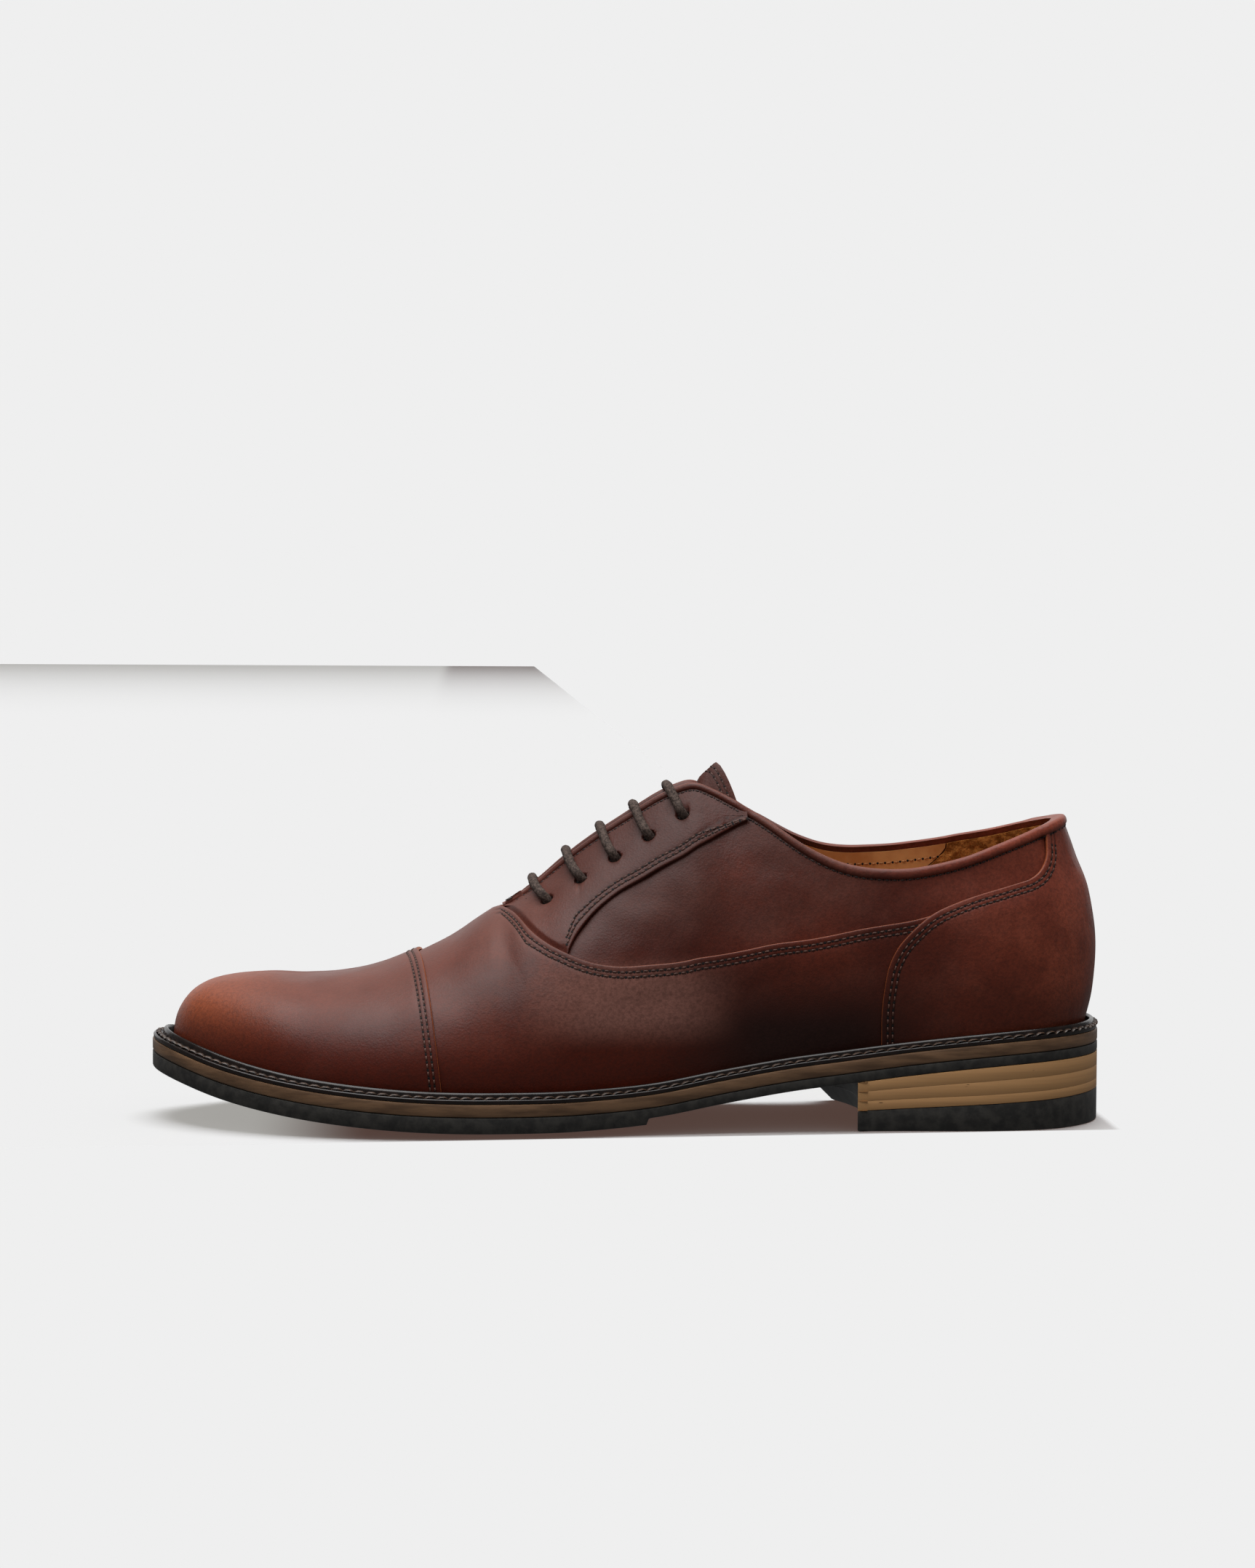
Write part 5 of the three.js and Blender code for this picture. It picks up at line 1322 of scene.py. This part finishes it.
def make_lace():
    route = lace_path()
    chord = run_of(route)
    line = Spline(np.column_stack([chord, route]))(np.linspace(0, chord[-1], int(chord[-1] / LACE_STEP)))
    along = run_of(line)
    across, other = frames_along(line)
    angle = np.arange(LACE_SIDES) * 2 * math.pi / LACE_SIDES
    turn = 2 * math.pi * along[:, None] / BRAID_PITCH
    braid = np.maximum(np.cos(3 * angle + 3 * turn), np.cos(3 * angle - 3 * turn))
    lint = waviness(np.stack([along[:, None] + 0 * angle, 2 * np.cos(angle) + 0 * turn,
                              2 * np.sin(angle) + 0 * turn], -1), 0.8, 6.0)
    radius = (LACE_RADIUS + NAP) * (0.94 + 0.07 * braid + 0.04 * lint)
    ring = across[:, None] * np.cos(angle)[None, :, None] + other[:, None] * np.sin(angle)[None, :, None]
    points = line[:, None] + ring * radius[..., None]
    faces = tube_faces(len(line), LACE_SIDES)
    lace = add_mesh("lace_braid", points.reshape(-1, 3), faces, LACE, "lace_cord",
                    stands_for=["lace"], sharp=89)
    return lace


# ---------------------------------------------------------------- stage and light
def add_light(name, kind, place, direction, power, receivers, mirrored=True, **settings):
    """A light that reaches only its receivers; mirrored says whether glossy surfaces show it."""
    data = bpy.data.lights.new(name, kind)
    data.energy = power
    for key, value in settings.items():
        setattr(data, key, value)
    made = bpy.data.objects.new(name, data)
    bpy.context.scene.collection.objects.link(made)
    made.location = place
    made.rotation_mode = "QUATERNION"
    made.rotation_quaternion = Vector(direction).to_track_quat("-Z", "Y")
    made.light_linking.receiver_collection = receivers
    made.visible_glossy = mirrored


PALE = 0.863
SHADOW = (0.08, 0.045, 0.036)
TOE_SHADOW = (0.36, 0.35, 0.33)
SKY = 0.14
FLOOR_SUN, FLOOR_SUN_DIRECTION = 2.96, (0.05, -0.3, -1.0)
FLOOR_SUN_SHARE = 0.957  # of its power on level ground, as it comes in aslant
KEY_SUN = 3.8
STAGE_WIDE, STAGE_FAR, STAGE_TALL = 8.0, 9.0, 6.0
BLACK = (0, 0, 0, 1)


def stage_sheet(name, points, material, mirrored):
    mesh = bpy.data.meshes.new(name)
    mesh.from_pydata(points, [], [[0, 1, 2, 3]])
    mesh.materials.append(material)
    made = bpy.data.objects.new(name, mesh)
    bpy.context.scene.collection.objects.link(made)
    made.visible_diffuse = False
    made.visible_glossy = mirrored
    return made


def linked(name, item, state):
    """A light-linking collection that includes or excludes one object."""
    made = bpy.data.collections.new(name)
    made.objects.link(item)
    made.collection_objects[0].light_linking.link_state = state
    return made


def floor_look():
    """Pale floor that shows a warm shadow under and behind the shoe, and none in front of it.

    It glows in the shadow's colour, and reflects just enough of the lights to be pale where they reach it.
    """
    look = Look("pale_floor", roughness=0.8, specular_ior_level=0.0)
    x, y, _ = look.axes()[:3]
    near_edge = look.math("SUBTRACT", look.math("MULTIPLY", x, 0.1), 0.0475)
    # In front of the shoe's near edge, and behind the heel, the floor has no colour of its own and glows
    # pale: painted light that leaves no shadow there.
    front = look.ramp(look.math("SUBTRACT", y, near_edge), 0.001, -0.001)
    front = look.math("MAXIMUM", front, look.ramp(x, 0.15, 0.153))
    # Toward the toe the glow is lighter: a painted lighter shadow.
    toe = look.ramp(x, -0.08, -0.12)
    light = FLOOR_SUN * FLOOR_SUN_SHARE / math.pi + SKY
    glows = [(*shadow, 1.0) for shadow in (SHADOW, TOE_SHADOW)]
    albedos = [(*((PALE - part) / light for part in shadow), 1.0) for shadow in (SHADOW, TOE_SHADOW)]
    look.paint(look.mixed(front, look.mixed(toe, *albedos), BLACK))
    look.glow(look.mixed(front, look.mixed(toe, *glows), (PALE, PALE, PALE, 1)))
    return look.material


def make_stage():
    """A pale ground and pale sheets far off on four sides, of one brightness, under soft light from above."""
    scene = bpy.context.scene
    scene.view_settings.view_transform = "Standard"
    scene.world = bpy.data.worlds.new("studio")
    scene.world.use_nodes = True
    sky = scene.world.node_tree.nodes["Background"].inputs
    sky["Color"].default_value = (1.0, 1.0, 1.0, 1)
    sky["Strength"].default_value = SKY
    wide, far = STAGE_WIDE, STAGE_FAR
    corners = [(-wide, far), (-wide, -far), (wide, -far), (wide, far)]
    floor = stage_sheet("floor", [(*corner, 0) for corner in corners], floor_look(), False)
    pale = Look("pale_backdrop", roughness=1.0, specular_ior_level=0.0)
    pale.shader.inputs["Base Color"].default_value = BLACK
    pale.glow((1, 1, 1, 1), PALE)
    sheets = [("backdrop", 0, 3), ("backdrop_0", 0, 1), ("backdrop_1", 1, 2), ("backdrop_2", 2, 3)]
    for name, start, end in sheets:
        low = [(*corners[start], 0), (*corners[end], 0)]
        high = [(*corners[end], STAGE_TALL), (*corners[start], STAGE_TALL)]
        stage_sheet(name, low + high, pale.material, name == "backdrop")
    floor_only = linked("floor_only", floor, "INCLUDE")
    shoe_only = linked("all_but_the_floor", floor, "EXCLUDE")
    here = (0, 0, 0)
    add_light("floor_sun", "SUN", here, FLOOR_SUN_DIRECTION, FLOOR_SUN, floor_only, angle=math.radians(45))
    add_light("key", "SUN", here, (0.15, 0.12, -1.0), KEY_SUN, shoe_only, angle=math.radians(60))
    for name, place, aim, size, power in [
        ("front_fill", (-0.5, -1.9, 0.75), (0, 0, 0.05), (0.9, 0.5), 2.9),
        ("heel_rim", (1.25, 0.35, 0.5), (0.1, 0, 0.06), (0.5, 0.7), 2.0),
    ]:
        add_light(name, "AREA", place, Vector(aim) - Vector(place), power, shoe_only, mirrored=False,
                  shape="RECTANGLE", size=size[0], size_y=size[1])


# ---------------------------------------------------------------- hidden and small CAD pieces
def finish_cad_nodes():
    looks = {
        "toe_puff": BOARD, "heel_stiffener": BOARD, "insole": BOARD, "cork_filler": CORK, "shank": STEEL,
        "aglet_1": PLASTIC, "aglet_2": PLASTIC,
    }
    looks.update({f"heel_nail_{i}": STEEL for i in range(1, 6)})
    for name in SIDE_NAME.values():
        looks.update({f"eyelet_{name}_{i}": BRASS for i in range(1, EYELET_COUNT + 1)})
    for node, look in looks.items():
        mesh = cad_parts[node].data
        mesh.materials.clear()
        mesh.materials.append(look)


make_lace()
make_toe_cap()
make_vamp()
for each in SIDES:
    make_facing(each)
    make_quarter(each)
make_counter()
make_binding()
make_linings()
make_heel_grip()
make_tongue("tongue_leather", TONGUE_LAYER, LEATHER, "upper_leather", "tongue", True)
make_tongue("tongue_lining_sheet", TONGUE_LINING_LAYER, LINING, "lining_leather", "tongue_lining", False)
make_sole()
make_sock()
make_welt()
finish_cad_nodes()
make_stage()
